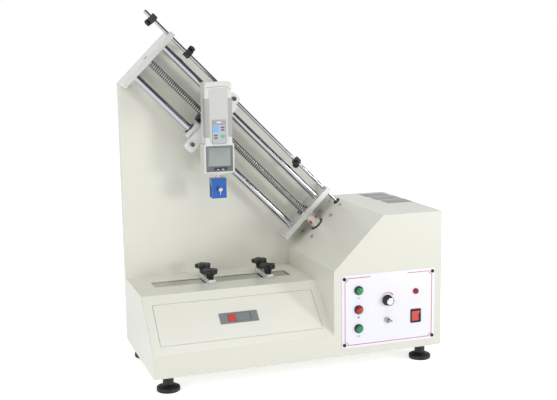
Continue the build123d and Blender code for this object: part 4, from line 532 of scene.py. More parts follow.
def make_finishes():
    """All the finishes of the machine, by name."""
    c = bpy.context.scene.peel_colours
    made = {}
    made["cream"] = finish("cream_powder_coat", *shades(c.cream, 0.965), 0.33, fineness=1100, height=0.006,
                           coat=0.35, coat_roughness=0.12)
    made["plate"] = finish("control_plate_face", *shades(c.plate, 0.955), 0.36, 0.25, "lines", fineness=900,
                           drift=60, height=0.002, stretch=(30, 1, 1), coat=0.2)
    made["machined"] = finish("milled_aluminium", (0.86, 0.86, 0.85), (0.70, 0.70, 0.69), 0.32, 0.75, "lines",
                              fineness=800, drift=50, height=0.006, stretch=(1, 25, 1), spread=0.1)
    made["slide_aluminium"] = finish("slide_aluminium", (0.86, 0.86, 0.85), (0.72, 0.72, 0.71), 0.34, 0.7,
                                     "lines", fineness=900, drift=60, height=0.005, stretch=(1, 1, 25),
                                     turn=45, spread=0.08)
    made["chrome"] = finish("hard_chrome", (0.46, 0.47, 0.49), (0.40, 0.41, 0.43), 0.12, 1.0, "lines",
                            fineness=500, drift=60, height=0.0004, stretch=(30, 1, 1), turn=45, spread=0.03)
    # The drive screw's finish has painted shade, near black, in its thread roots.
    made["thread"] = paint_shade_in_thread_roots(finish("rolled_steel", (0.46, 0.46, 0.45), (0.36, 0.36, 0.35), 0.36, 1.0,
                                         "lines", fineness=500, drift=60, height=0.002, turn=45, spread=0.06),
                                  (0.02, 0.019, 0.016))
    made["zinc"] = finish("zinc_plate", (0.68, 0.69, 0.70), (0.50, 0.51, 0.53), 0.3, 0.9, fineness=900,
                          drift=40, height=0.003, spread=0.1)
    made["stage"] = finish("polished_stainless", (0.62, 0.62, 0.60), (0.55, 0.55, 0.53), 0.1, 1.0, "lines",
                           fineness=900, drift=30, height=0.0008, stretch=(30, 1, 1), spread=0.04)
    made["black_steel"] = finish("black_oxide", (0.013, 0.013, 0.014), (0.007, 0.007, 0.007), 0.42, 0.0,
                                 fineness=1200, drift=50, height=0.003)
    made["black"] = finish("black_moulding", (0.006, 0.006, 0.007), (0.003, 0.003, 0.003), 0.34, 0.0,
                           "stipple",
                           fineness=1500, drift=30, height=0.003)
    made["rubber"] = finish("black_rubber", (0.007, 0.008, 0.010), (0.003, 0.004, 0.005), 0.5, 0.0, "stipple",
                            fineness=1400, drift=30, height=0.01)
    made["gauge"] = finish("gauge_moulding", *shades(c.gauge, 0.96), 0.34, fineness=1800, height=0.005,
                           coat=0.25, coat_roughness=0.15)
    # Painted shade: the face panel takes the gauge's colour times 0.84, for the shade on the gauge's upper
    # face.
    made["gauge_face"] = finish("gauge_face_shaded_moulding", *shades(tuple(v * 0.84 for v in c.gauge), 0.96), 0.4,
                                fineness=1800, height=0.005)
    made["grey_grip"] = finish("grey_grip_rubber", (0.44, 0.445, 0.43), (0.38, 0.385, 0.37), 0.55, 0.0,
                               "stipple", fineness=1300, drift=30, height=0.012)
    made["screen_frame"] = finish("screen_frame_grey", (0.155, 0.17, 0.18), (0.13, 0.145, 0.155), 0.3,
                                  fineness=1800, height=0.004, coat=0.4)
    made["screen"] = finish("display_glass", (0.315, 0.345, 0.325), (0.29, 0.32, 0.30), 0.2, fineness=2500,
                            drift=12, height=0.0006, coat=0.5, coat_roughness=0.06)
    made["screen_strip"] = finish("display_strip", (0.035, 0.045, 0.055), (0.025, 0.032, 0.04), 0.25,
                                  fineness=2500, height=0.001)
    made["keypad"] = finish("keypad_film", (0.50, 0.505, 0.55), (0.46, 0.465, 0.51), 0.36, fineness=2400,
                            height=0.003)
    made["keypad_band"] = finish("keypad_band", *shades((0.34, 0.37, 0.44)), 0.36, fineness=2400,
                                 height=0.003)
    made["key_blue"] = finish("key_print_blue", *shades((0.17, 0.50, 0.92)), 0.35, fineness=2400,
                              height=0.003)
    made["key_green"] = finish("key_print_green", *shades((0.10, 0.58, 0.27)), 0.35, fineness=2400,
                               height=0.003)
    made["key_dark"] = finish("key_print_dark", *shades((0.11, 0.075, 0.115)), 0.35, fineness=2400,
                              height=0.003)
    made["grip"] = finish("blue_anodised", *shades(c.grip, 0.7), 0.25, 0.35, "lines", fineness=900, drift=70,
                          height=0.003, stretch=(20, 1, 1), spread=0.08, coat=0.3)
    made["spider"] = finish("coupling_rubber", *shades((0.62, 0.075, 0.03)), 0.4, fineness=1500, height=0.01)
    made["green"] = finish("green_cap", *shades(c.green, 0.8), 0.2, fineness=2000, height=0.002, coat=0.3)
    made["red"] = finish("red_cap", *shades(c.red, 0.8), 0.2, fineness=2000, height=0.002, coat=0.3)
    made["lamp"] = finish("red_lens", *shades((0.34, 0.004, 0.010), 0.5), 0.12, fineness=300, drift=80,
                          height=0.004, coat=0.3, coat_roughness=0.03)
    made["rocker"] = finish("red_rocker", *shades((0.62, 0.025, 0.015), 0.8), 0.22, fineness=2000, drift=60,
                            height=0.003, coat=0.7, emission=0.12)
    made["latch"] = finish("latch_grey", *shades((0.175, 0.19, 0.195), 0.93), 0.34, fineness=1700,
                           height=0.004,
                           coat=0.25)
    made["latch_red"] = finish("latch_red", *shades((0.52, 0.028, 0.012), 0.85), 0.3, fineness=1700,
                               height=0.004, coat=0.3)
    made["motor"] = finish("motor_paint", *shades((0.16, 0.17, 0.18), 0.8), 0.5, fineness=500, height=0.02)
    made["switch"] = finish("switch_moulding", *shades((0.09, 0.09, 0.10), 0.8), 0.45, fineness=1500,
                            height=0.01)
    made["board"] = finish("circuit_board", *shades((0.03, 0.16, 0.07), 0.7), 0.4, fineness=300, drift=120,
                           height=0.02)
    made["print_red"] = finish("border_print", *shades((0.60, 0.07, 0.11)), 0.4, fineness=2400, height=0.002)
    made["print_grey"] = finish("legend_print", *shades((0.12, 0.12, 0.13)), 0.4, fineness=2400, height=0.002)
    made["print_white"] = finish("legend_white", *shades((0.85, 0.85, 0.84)), 0.4, fineness=2400,
                                 height=0.002)
    made["label"] = finish("plain_label", *shades((0.33, 0.345, 0.36)), 0.4, fineness=2000, height=0.002)
    return made


FINISHES = {}
NODE_FINISH = {
    "cream": ["base_housing", "control_cabinet", "tall_panel", "service_covers", "door"],
    "plate": ["control_plate"],
    "machined": ["clamp_bar_left", "clamp_bar_right"],
    "slide_aluminium": ["end_plates", "carriage_plate", "bearing_blocks", "coupling_hubs"],
    "zinc": ["screw_bearings", "gauge_shaft", "grip_jaw"],
    "stage": ["stage_plate"],
    "black_steel": ["linear_bushings", "screw_nut", "stop_collar_1", "stop_collar_2", "stop_collar_3"],
    "spider": ["coupling_spider"],
    "motor": ["gear_motor"],
    "switch": ["limit_switches"],
    "board": ["electronics"],
    "black": ["mains_inlet"],
    "gauge": ["gauge_front_shell", "gauge_rear_shell"],
    "grey_grip": ["gauge_grip_pads"],
    "grip": ["grip_body"],
    "latch": ["latch_housing", "latch_lever"],
    "latch_red": ["latch_button"],
    "chrome": ["toggle_lever"],
    "rocker": ["rocker"],
}


def give_finishes():
    """Gives each carried-over CAD node its finish."""
    FINISHES.update(make_finishes())
    for name, nodes in NODE_FINISH.items():
        for node in nodes:
            mesh = frame["nodes"][node].data
            mesh.materials.clear()
            mesh.materials.append(FINISHES[name])


# Pieces of the slide
def build_slide():
    """The slide's rods, trip rod, drive screw, the rod's bush and the coupling's set screws."""
    sizes = bpy.context.scene.peel_sizes
    rods = []
    for side in (-ROD_SPREAD, ROD_SPREAD):
        top = -SLIDE_CLEAR - ROD_SEAT
        rods.append(lathe(SLIDE.moved(v=side),
                          [(top, 0), (top, ROD_RADIUS), (ROD_SEAT, ROD_RADIUS), (ROD_SEAT, 0)]))
    make_piece("slide_rods", rods, FINISHES["chrome"], "frame", ["guide_rods"])
    top, bottom = STOP_REACH
    cam_top, cam_bottom, cam_radius = CAM
    stop = lathe(SLIDE.moved(v=STOP_OFFSET),
                 [(top, 0), (top, STOP_RADIUS - 0.8), (top + 0.8, STOP_RADIUS), (cam_top, STOP_RADIUS),
                  (cam_top, cam_radius), (cam_bottom, cam_radius), (cam_bottom, STOP_RADIUS),
                  (bottom, STOP_RADIUS), (bottom, 0)], SMALL_ROUND)
    make_piece("trip_rod", [stop], FINISHES["chrome"], "stop_rod", ["stop_rod"])
    make_piece("drive_screw", threaded_screw(sizes.thread_pitch / MM, sizes.thread_depth / MM),
               FINISHES["thread"], "lead_screw", ["lead_screw"], sharp=60)
    bush = SLIDE.moved(v=STOP_OFFSET)
    ring = lathe(bush, [(FACE_AT, 4.3), (FACE_AT, 8.2), (FACE_AT - 1.2, 8.6), (FACE_AT - 2.2, 7.8),
                        (FACE_AT - 2.2, 4.9), (FACE_AT - 1.4, 4.3), (FACE_AT, 4.3)], SMALL_ROUND)
    make_piece("trip_rod_bush", [ring], FINISHES["rubber"], "frame")
    holes = []
    for along, turn in COUPLING_SCREWS:
        seat = SLIDE.moved(u=along).turned(turn)
        out = Place(seat.origin + seat.axes[1] * (HUB_RADIUS - 0.9), seat.axes[1], seat.axes[0], seat.axes[2])
        holes.append(socket_head(out, (1.2, 1.9, 1.0, 0.5), 2.0))
    make_piece("coupling_set_screws", holes, FINISHES["black_steel"], "lead_screw")


def threaded_screw(pitch, depth):
    """The drive screw: the radius falls by the groove's depth where the angle less a full turn for each pitch
    of length is near zero, as a rounded trough, and fades out at both ends. Plain journals and the motor's
    own shaft stand on the same axis."""
    step = pitch / 10
    rows = np.arange(SCREW_TOP + 0.6, SCREW_BOTTOM - 0.6, step)
    profile = [(SCREW_TOP, ROD_RADIUS)] + [(at, ROD_RADIUS) for at in rows] + [(SCREW_BOTTOM, ROD_RADIUS)]

    def groove(angle, along, radius):
        wave = np.cos(angle - 2 * math.pi * along / pitch)
        trough = np.clip((wave + 0.15) / 1.15, 0, 1) ** 0.7
        fade = np.clip(np.minimum(along - SCREW_TOP - 1, SCREW_BOTTOM - 1 - along) / 3, 0, 1)
        return radius - depth * trough * fade

    middle = lathe(SLIDE, profile, 36, groove)
    first, last = (profile[0][0], 0), (profile[-1][0], 0)
    caps = [lathe(SLIDE, [first, profile[0]], 36), lathe(SLIDE, [profile[-1], last], 36)]
    ends = []
    for low, high in ((JOURNAL_TOP, SCREW_TOP), (SCREW_BOTTOM, JOURNAL_END), MOTOR_SHAFT):
        shaft = [(low, 0), (low, JOURNAL_RADIUS), (high, JOURNAL_RADIUS), (high, 0)]
        ends.append(lathe(SLIDE, shaft, SMALL_ROUND))
    return [middle] + caps + ends


def build_collar_screws():
    """Knurled thumb screws: the head's radius drops a little in a row of narrow furrows round it."""
    for number in (1, 2, 3):
        place = joint_place("collar_%d_screw_turn" % number)

        def knurl(angle, along, radius):
            furrow = 0.45 * (0.5 - 0.5 * np.cos(22 * angle)) ** 2
            return np.where((along > 10.2) & (along < 17.6) & (radius > 5), radius - furrow, radius)

        rows = [(4.4, 0), (4.4, 1.94), (9.5, 1.94), (9.5, 6.4), (10.1, 7.5), (10.3, 7.5), (17.4, 7.5),
                (17.7, 7.4), (18.5, 6.3), (18.5, 3.5), (18.1, 3.2), (18.1, 0)]
        make_piece("thumb_screw_%d" % number, [lathe(place, rows, 88, knurl)], FINISHES["black"],
                   "collar_screw_%d" % number, ["collar_screw_%d" % number], sharp=50)


def build_star_knobs():
    """Star knobs: five lobes, the radius a blend of the core's and the lobes' by a power of the cosine, with
    edges rounded over by the profile and a round boss on top."""
    sizes = bpy.context.scene.peel_sizes
    outer = sizes.star_knob_radius / MM
    lobes = sizes.star_knob_lobes

    def lobed(angle, along, radius):
        wave = (0.5 + 0.5 * np.cos(lobes * angle)) ** 0.62
        share = np.clip((radius - 9.6) / (outer - 9.6), 0, 1)
        core = radius - share * 6.6
        return np.where(radius > 9.6, core + (radius - core) * wave, radius)

    rows = [(0, 0), (0, 7.4), (0.5, 7.6), (10.2, 9.3), (11, 9.6), (11.2, 13), (11.6, 16.5),
            (12.8, outer - 0.6), (14, outer), (18.5, outer), (20.2, outer - 0.7), (21.2, outer - 2.6),
            (21.5, outer - 5), (21.4, 12), (21.2, 9.55), (21.9, 8.8), (22.0, 7.6), (21.3, 6.8), (21.2, 0)]
    for side in ("left", "right"):
        for end in ("front", "back"):
            node = "star_knob_%s_%s" % (side, end)
            place = joint_place("knob_turn_%s_%s" % (side, end))
            make_piece(node.replace("star_knob", "clamp_knob"), [lathe(place.turned(18), rows, 120, lobed)],
                       FINISHES["black"], node, [node], sharp=40)


# Force gauge and grip
def build_gauge():
    """The gauge's dressing: a crowned panel down its face, the cap's seam, side grips, display and keypad."""
    front_low, front_high = box_mm("gauge_front_shell")
    front = front_low[1]
    x = (front_low[0] + front_high[0]) / 2
    top = front_high[2]
    place = facing_front(x, front, top)
    panel = plate(place.moved(-0.5, 0, -PANEL_DOWN), *PANEL_SIZE, 1.1, 5, 0.9, 0.15)
    make_piece("gauge_face_panel", [panel], FINISHES["gauge_face"], "carriage")
    seam = band(place.moved(-0.1), [(-28.5, -12), (8, -9.5), (17, -10.5), (28.5, -16)], 0.8, 0.25)
    make_piece("gauge_cap_seam", [seam], FINISHES["latch"], "carriage")
    grips = [side_grip(place, side) for side in (-1, 1)]
    make_piece("gauge_side_grips", grips, FINISHES["grey_grip"], "carriage", ["gauge_grip_pads"],
               sharp=50)
    build_display(front)
    build_keypad(front)


def side_grip(place, side):
    """A soft pad that wraps a front corner of the gauge: it stands out from the case by its thickness times
    the root of (one less the eighth power of the place along it) times (one less the sixth power of the
    place round it), each place from -1 to 1, so its edges fall to the case."""
    half, corner = GRIP_HALF_CASE, GRIP_CORNER
    around = np.concatenate([np.linspace(-10.5, -corner, 9), [0] * 7, np.linspace(corner, 14.5, 12)])
    turn = np.concatenate([np.zeros(9), np.linspace(0, math.pi / 2, 9)[1:-1], np.full(12, math.pi / 2)])
    across = np.where(turn == 0, half + around, half - corner + corner * np.sin(turn))
    inward = np.where(turn == math.pi / 2, around, corner - corner * np.cos(turn))
    up = np.linspace(-1, 1, 41)[:, None]
    round_it = np.linspace(-1, 1, len(around))[None, :]
    rise = GRIP_RISE * np.sqrt(np.clip((1 - up ** 8) * (1 - round_it ** 6), 0, 1))
    levels = -GRIP_DOWN + GRIP_HALF_LONG * up + 0 * round_it
    outer = np.stack([-(inward - rise * np.cos(turn)), side * (across + rise * np.sin(turn)), levels], -1)
    inner = np.stack([-(inward + 0.3 + 0 * rise), side * (across - 0.3 * np.sin(turn) + 0 * rise), levels],
                     -1)
    ring = np.concatenate([outer, inner[:, ::-1]], 1)
    caps = [ring[:1].mean(1, keepdims=True) + 0 * ring[:1], ring[-1:].mean(1, keepdims=True) + 0 * ring[-1:]]
    ring = np.concatenate([caps[0], ring, caps[1]])
    return place.at(ring.reshape(-1, 3)), grid_faces(len(ring), ring.shape[1], True)


def build_display(front):
    """The display: a grey frame with a sunk window, the glass, and a dark strip with plain marks under it."""
    rim = bpy.context.scene.peel_sizes.screen_rim / MM
    low, high = box_mm("gauge_screen")
    wide, tall = (high - low)[[0, 2]]
    back = high[1]
    reach = back - front + 0.7
    x, z = (low[0] + high[0]) / 2, (low[2] + high[2]) / 2
    place = facing_front(x, back, z)
    window = np.array([wide - 2 * rim - 5, tall - 2 * rim - 9.5])
    lift = np.array([0.6, 4.0])
    loops = []
    for size, corner, shift, level in (((wide, tall), 2.5, 0, 0.0),
                                       ((wide, tall), 2.5, 0, reach - 0.5),
                                       ((wide - 0.8, tall - 0.8), 2.2, 0, reach),
                                       (window + 1.6, 1.6, 1, reach),
                                       (window + 0.4, 1.2, 1, reach - 0.35),
                                       (window, 1.0, 1, reach - 1.0)):
        line = rounded_outline(*size, corner) + shift * lift
        loops.append(np.column_stack([np.full(len(line), level), line]))
    ends = [loops[0] * 0, loops[-1] * [1, 0, 0] + [0, *lift]]
    points = np.concatenate([ends[0]] + loops + [ends[1]])
    surround = (place.at(points), grid_faces(len(loops) + 2, len(loops[0]), True))
    make_piece("display_frame", [surround], FINISHES["screen_frame"], "carriage",
               ["gauge_screen"])
    glass = plate(place.moved(reach - 1.3, *lift), *window, 0.6, 1.0, 0.2)
    make_piece("display_glass", [glass], FINISHES["screen"], "carriage")
    below = place.moved(reach - 0.1, 2.0, -tall / 2 + 6.2)
    make_piece("display_strip", [plate(below, 30, 6.6, 0.3, 0.8, 0.1)], FINISHES["screen_strip"], "carriage")
    marks = [plate(below.moved(0.25, shift, -1.2), 4.6, 1.3, 0.15, 0.3, 0.05) for shift in (-6, 5)]
    make_piece("display_marks", marks, FINISHES["print_white"], "carriage")


def build_keypad(front):
    """The keypad: a rounded film with a darker rim and band, and printed keys raised from it."""
    low, high = box_mm("gauge_keypad")
    middle = (low + high) / 2
    wide, tall = KEYPAD_WIDE, high[2] - low[2]
    place = facing_front(middle[0], high[1], middle[2])
    face = high[1] - front + 1.0
    make_piece("keypad_film", [plate(place, wide, tall, face, 3.2, 0.2)], FINISHES["keypad"], "carriage",
               ["gauge_keypad"])
    place = place.moved(face)
    rim = band(place.moved(-0.02), rounded_outline(wide - 1.0, tall - 1.0, 2.7), 0.8, 0.12, True)
    make_piece("keypad_rim", [rim, band(place, [(-13, 14.6), (13, 14.6)], 0.5, 0.1)],
               FINISHES["screen_frame"],
               "carriage")
    make_piece("keypad_band", [plate(place.moved(-0.05, 0, 20.0), wide - 2.6, 9.0, 0.15, 1.5, 0.05)],
               FINISHES["keypad_band"], "carriage")
    make_piece("keypad_mark", [plate(place.moved(0.05, 0, 21.0), 10, 2.4, 0.12, 0.8, 0.05)],
               FINISHES["print_white"], "carriage")
    for name, spots in KEYS.items():
        pads = [plate(place.moved(-0.05, x, z), w, h, 0.4, 0.8, 0.15, 0.08) for x, z, w, h in spots]
        make_piece("keypad_" + name, pads, FINISHES[name], "carriage")


def build_grip():
    """The grip's thumb screw: a turned head with a coined edge and a pin across it, on a plain shank."""
    low, high = box_mm("grip_screw")
    place = joint_place("grip_screw_turn")
    place = Place((place.origin[0], low[1], place.origin[2]), (0, 1, 0), (1, 0, 0), (0, 0, -1))
    long = high[1] - low[1]

    def coin(angle, along, radius):
        edge = (along > 1.0) & (along < 5.2) & (radius > 4)
        return np.where(edge, radius - 0.25 * (np.cos(20 * angle) > 0), radius)

    rows = [(0.3, 0), (0.0, 2.4), (0.0, 3.6), (0.9, 4.7), (1.1, 4.8), (5.0, 4.8), (5.4, 4.7), (6, 4.2),
            (6, 2.5), (long, 2.5), (long, 0)]
    handle = Place(place.at([(2.9, 0, 0)])[0] / MM, (0, 0, -1), (1, 0, 0), (0, 1, 0))
    ends = [(-4.0, 0), (-4.0, 0.7), (-3.7, 1.0), (11.2, 1.0), (11.5, 0.7), (11.5, 0)]
    make_piece("grip_thumb_screw", [lathe(place, rows, 80, coin), lathe(handle, ends, 16)], FINISHES["zinc"],
               "grip_screw", ["grip_screw"], sharp=50)


# Controls
def build_controls():
    """The control plate's bezels, caps, rocker frame, toggle, knob, lamp and print."""
    face = box_mm("control_plate")[0][1]
    bezels = []
    caps = (("up_button", "green"), ("stop_button", "red"), ("down_button", "green"))
    for node, colour in caps:
        x, _, z = box_middle(node)
        place = facing_front(x, face, z)
        bezels.append(lathe(place, [(-23, 0), (-23, 8.9), (0, 8.9), (0, 9.8), (2.6, 9.8), (3.8, 9.4),
                                    (4.5, 8.6), (4.5, 8.2), (4.2, 7.75), (-21, 7.75), (-21, 0)]))
        dome = [(-13.5, 0), (-13.5, 7.4), (6.4, 7.4)]
        dome += [(6.4 + 2.1 * math.sin(t), 7.4 * math.cos(t) ** 0.8) for t in np.linspace(0.2, 1.45, 9)]
        dome.append((8.5, 0))
        make_piece(node + "_cap", [lathe(place, dome, 64)], FINISHES[colour], node,
                   [node],
                   sharp=60)
    rocker_low, rocker_high = box_mm("rocker")
    x = (rocker_low[0] + rocker_high[0]) / 2
    z = (rocker_low[2] + rocker_high[2]) / 2
    place = facing_front(x, face, z)
    bezels.append(hollow_frame(place, (25, 31), (19.2, 25.4), (21.6, 28.0), 2.5, -20))
    knob = joint_place("speed_knob_turn")
    knob_place = facing_front(knob.origin[0], face, knob.origin[2])
    bezels.append(lathe(knob_place, [(-13.5, 0), (-13.5, 12), (-3.5, 12), (-3.5, 4.5), (2, 4.5), (2, 3.1),
                                     (-12, 3.1), (-12, 0)], 48))
    toggle = joint_place("toggle_throw")
    toggle_place = facing_front(toggle.origin[0], face, toggle.origin[2])
    make_piece("panel_mouldings", bezels, FINISHES["black"], "frame", ["panel_switches"])
    bush = toggle_bush(toggle_place)
    make_piece("toggle_bush", bush, FINISHES["zinc"], "frame")
    case = plate(toggle_place.moved(-23.5), 14, 22, 20, 0.6, 0.3)
    make_piece("toggle_case", [case], FINISHES["switch"], "frame")
    build_speed_knob(knob_place)
    build_lamp(face)
    build_prints(face, knob_place, (x, z))


def hollow_frame(place, outer, inner, body, proud, depth):
    """A rocker switch's frame: rounded rectangles one inside another at the levels of its section."""
    rows = [(body, depth, 1), (body, 0, 1), (outer, 0, 2), (outer, proud - 0.9, 2),
            ((outer[0] - 1.8, outer[1] - 1.8), proud, 1.6), ((inner[0] + 0.8, inner[1] + 0.8), proud, 0.8),
            (inner, proud - 0.5, 0.6), (inner, depth + 3, 0.6)]
    loops = [np.column_stack([np.full(32, level), rounded_outline(*size, corner)])
             for size, level, corner in rows]
    ends = [loops[0] * [1, 0, 0], loops[-1] * [1, 0, 0]]
    points = np.concatenate([ends[0]] + loops + [ends[1]])
    return place.at(points), grid_faces(len(rows) + 2, 32, True)


def toggle_bush(place):
    """The toggle's bush with its sunk mouth and a hexagon nut, turned about the same axis."""
    section = [(-3.5, 6), (0.0, 6), (4.5, 6), (5, 5.5), (5, 5.0), (2.2, 3.0), (-3.5, 3.0), (-3.5, 6)]
    bush = lathe(place, section, SMALL_ROUND)

    def hexagon(angle, along, radius):
        third = math.pi / 3
        off = (angle + third / 2) % third - third / 2
        return np.where(radius > 6.5, np.minimum(radius / np.cos(off), 7.9), radius)

    nut = lathe(place, [(0, 6.01), (0, 7.0), (2.2, 7.0), (2.5, 6.7), (2.5, 6.01), (0, 6.01)], 72, hexagon)
    return [bush, nut]


def build_speed_knob(place):
    """The speed knob: a fluted black body whose radius dips in sixteen furrows, a skirt, and a bright
    face disc with a pointer line."""
    def fluted(angle, along, radius):
        furrow = 0.9 * (0.5 + 0.5 * np.cos(16 * angle)) ** 3
        return np.where((along > 4.5) & (radius > 8.5), radius - furrow, radius)

    rows = [(4.0, 0), (4.0, 4.9), (0.4, 4.9), (0.4, 11.6), (0.8, 12), (2.9, 12), (3.4, 11.6), (4.2, 10.1),
            (5.2, 9.8), (13.8, 9.4), (15, 8.4), (15, 7.6), (14.7, 7.3), (14.7, 0)]
    make_piece("speed_knob_body", [lathe(place, rows, 128, fluted)], FINISHES["black"], "speed_knob",
               ["speed_knob"], sharp=40)
    disc = lathe(place, [(14.6, 0), (14.6, 7.2), (14.85, 7.2), (14.95, 6.9), (14.95, 0)], 64)
    make_piece("speed_knob_disc", [disc], FINISHES["machined"], "speed_knob")
    pointer = band(place.moved(14.9), [(-2.0, 2.0), (-5.1, 5.1)], 1.3, 0.1)
    make_piece("speed_knob_pointer", [pointer], FINISHES["print_grey"], "speed_knob")


def build_lamp(face):
    """The indicator: a domed lens whose radius follows a quarter ellipse, in a thin red rim."""
    low, high = box_mm("indicator_lamp")
    x, _, z = (low + high) / 2
    place = facing_front(x, face, z)
    lens = [(-17, 0), (-17, 5.5), (3.6, 5.5)]
    lens += [(3.6 + 4.4 * math.sin(t), 5.5 * math.cos(t)) for t in np.linspace(0.15, 1.4, 9)] + [(8.0, 0)]
    make_piece("indicator_lens", [lathe(place, lens, 64)], FINISHES["lamp"], "frame",
               ["indicator_lamp"], sharp=60)
    rim = lathe(place, [(0, 5.52), (0, 6.8), (1.0, 6.8), (1.5, 6.4), (1.5, 5.52), (0, 5.52)], 64)
    make_piece("indicator_rim", [rim], FINISHES["red"], "frame")


def build_prints(face, knob_place, rocker_at):
    """The plate's printed border with notched corners, the speed arc, and plain arrow and bar marks under the
    buttons.
    """
    low, high = box_mm("control_plate")
    x, z = (low[0] + high[0]) / 2, (low[2] + high[2]) / 2
    place = facing_front(x, face, z)
    half_wide, half_high = (high[0] - low[0]) / 2 - 7.5, (high[2] - low[2]) / 2 - 6.5
    notch, gap = 7.0, 44.0
    corner = []
    for quarter in range(4):
        sx, sz = ((1, 1), (1, -1), (-1, -1), (-1, 1))[quarter]
        turn = np.linspace(0, math.pi / 2, 7)
        first = np.array([sx * (half_wide - notch), sz * half_high])
        arc_centre = np.array([sx * half_wide, sz * half_high])
        across = np.column_stack([-sx * notch * np.cos(turn), -sz * notch * np.sin(turn)]) + arc_centre
        piece = np.vstack([first, across, [sx * half_wide, sz * (half_high - notch)]])
        corner.append(piece if quarter % 2 == 0 else piece[::-1])
    path = np.vstack([[[gap, half_high]], corner[0], corner[1], corner[2], corner[3], [[-gap, half_high]]])
    keep = np.concatenate([[True], np.linalg.norm(np.diff(path, axis=0), axis=1) > 0.05])
    make_piece("plate_border", [band(place, path[keep], 1.5, 0.08)], FINISHES["print_red"], "frame")
    turn = np.radians(np.linspace(135, 38, 22))
    arc = np.column_stack([16.8 * np.cos(turn), 16.8 * np.sin(turn)])
    make_piece("speed_arc", [band(knob_place, arc, np.linspace(0.5, 2.8, 22), 0.08)], FINISHES["print_red"],
               "frame")
    marks = []
    for node, kind in (("up_button", 1), ("stop_button", 0), ("down_button", -1)):
        bx, _, bz = box_middle(node)
        spot = facing_front(bx, face, bz - 17.5)
        if kind:
            marks.append(band(spot, [(-2.6, -1.6 * kind), (0, 1.6 * kind), (2.6, -1.6 * kind)], 0.9, 0.08))
        else:
            marks.append(band(spot, [(-2.2, 0), (2.2, 0)], 3.2, 0.08))
    make_piece("button_marks", marks, FINISHES["print_grey"], "frame")


# Feet, screws and the back
def build_feet():
    """Levelling feet: a rubber-shod disc with a rounded rim and a ribbed band above it, a domed shoulder and
    a plain neck.
    """
    for node in [name for name in frame["nodes"] if name.startswith("foot_")]:
        low, high = box_mm(node)
        x, y, _ = (low + high) / 2
        top = high[2] - low[2]
        place = Place((x, y, 0), (0, 0, 1), (1, 0, 0), (0, 1, 0))
        rows = [(0, 0), (0, 22.8), (0.6, 23.7), (1.6, 24.3), (2.8, 24.3), (3.0, 24.0), (3.4, 24.0),
                (3.6, 24.5), (7.4, 24.5), (8.6, 23.9), (9.5, 22.4), (11.2, 18.2), (12.6, 14.2),
                (13.8, 12.0), (15.5, 11.3), (30, 11.3), (31, 11.5), (35.2, 11.5), (35.6, 11.2),
                (35.6, 5.0), (top, 5.0), (top, 0)]

        def ribbed(angle, along, radius):
            rib = 0.55 * (0.5 - 0.5 * np.cos(24 * angle))
            return np.where((along > 3.7) & (along < 8.0), radius - rib * (radius > 24.2), radius)

        make_piece("levelling_" + node, [lathe(place, rows, 144, ribbed)], FINISHES["rubber"], node,
                   [node], sharp=50)


def facing_up_slide(seat):
    """A place on the slide turned so that its first axis points up the slide."""
    return Place(seat.origin, -seat.axes[0], seat.axes[1], -seat.axes[2])


def build_screws():
    """Every fixed screw, with its own recess, where the CAD has it."""
    silver, dark = [], []
    low, high = box_mm("control_plate")
    for x in (low[0] + 6.0, high[0] - 6.0):
        for z in (low[2] + 7.5, high[2] - 7.5):
            dark.append(pan_head(facing_front(x, low[1], z), PLATE_SCREW))
    for up in (-MOTOR_SCREW_OFF, MOTOR_SCREW_OFF):
        for out in (-MOTOR_SCREW_OFF, MOTOR_SCREW_OFF):
            seat = SLIDE.moved(FACE_AT, up, out)
            silver.append(socket_head(facing_up_slide(seat), MOTOR_SCREW))
    for out in (-BRACKET_OUT, BRACKET_OUT):
        seat = SLIDE.moved(FACE_AT, BRACKET_UP, out)
        silver.append(pan_head(facing_up_slide(seat), PLATE_SCREW))
    for up in (-FLANGE_SCREW_OFF, FLANGE_SCREW_OFF):
        for out in (-FLANGE_SCREW_OFF, FLANGE_SCREW_OFF):
            seat = SLIDE.moved(FLANGE_AT, up, out)
            dark.append(socket_head(facing_up_slide(seat), FLANGE_SCREW))
    for along in BOLT_AT:
        for up in (-BOLT_UP, BOLT_UP):
            seat = SLIDE.moved(along, up, BOLT_OUT)
            dark.append(socket_head(Place(seat.origin, -seat.axes[2], seat.axes[0], -seat.axes[1]),
                                    PANEL_BOLT))
    back, highest = box_mm("service_covers")
    cabinet_low, cabinet_high = box_mm("control_cabinet")
    base_high = box_mm("base_housing")[1]
    panel_high = box_mm("tall_panel")[1]
    rear = highest[1]
    left, right, floor = back[0], cabinet_high[0], cabinet_low[2]
    inset = COVER_INSET
    apex = (left + APEX_FROM_LEFT, panel_high[2])
    left_top = apex[1] - PANEL_SHOULDER
    spots = [(left + inset, floor + inset), (0.0, floor + inset), (right - inset, floor + inset),
             (right - inset, cabinet_high[2] - inset), (left + inset, base_high[2] - inset),
             (SLOPE_FOOT_X + inset, cabinet_high[2] - inset), (left + inset, base_high[2] + inset),
             (CABINET_LEFT_X - inset, base_high[2] + inset), (left + inset, left_top - inset),
             (apex[0], apex[1] - 2 * inset)]
    for x, z in spots:
        silver.append(pan_head(Place((x, rear, z), (0, 1, 0), (1, 0, 0), (0, 0, -1)), COVER_SCREW))
    for side in ("left", "right"):
        for end in ("front", "back"):
            seat = joint_place("knob_turn_%s_%s" % (side, end))
            silver.append(lathe(seat, [(-20, 0), (-20, 4), (14.2, 4), (15, 3.2), (15, 0)], SMALL_ROUND))
    make_piece("fixed_screws_silver", silver, FINISHES["zinc"], "frame", ["fixing_screws"])
    make_piece("fixed_screws_dark", dark, FINISHES["black_steel"], "frame")
    carried = []
    middle = SLIDE.moved(CARRIAGE_AT)
    for up in EAR_SCREWS:
        seat = middle.moved(0, up, EAR_OUT)
        carried.append(socket_head(Place(seat.origin, seat.axes[2], seat.axes[0], seat.axes[1]), CAP_SCREW))
    make_piece("carriage_cap_screws", carried, FINISHES["motor"], "carriage",
               ["carriage_screws"])


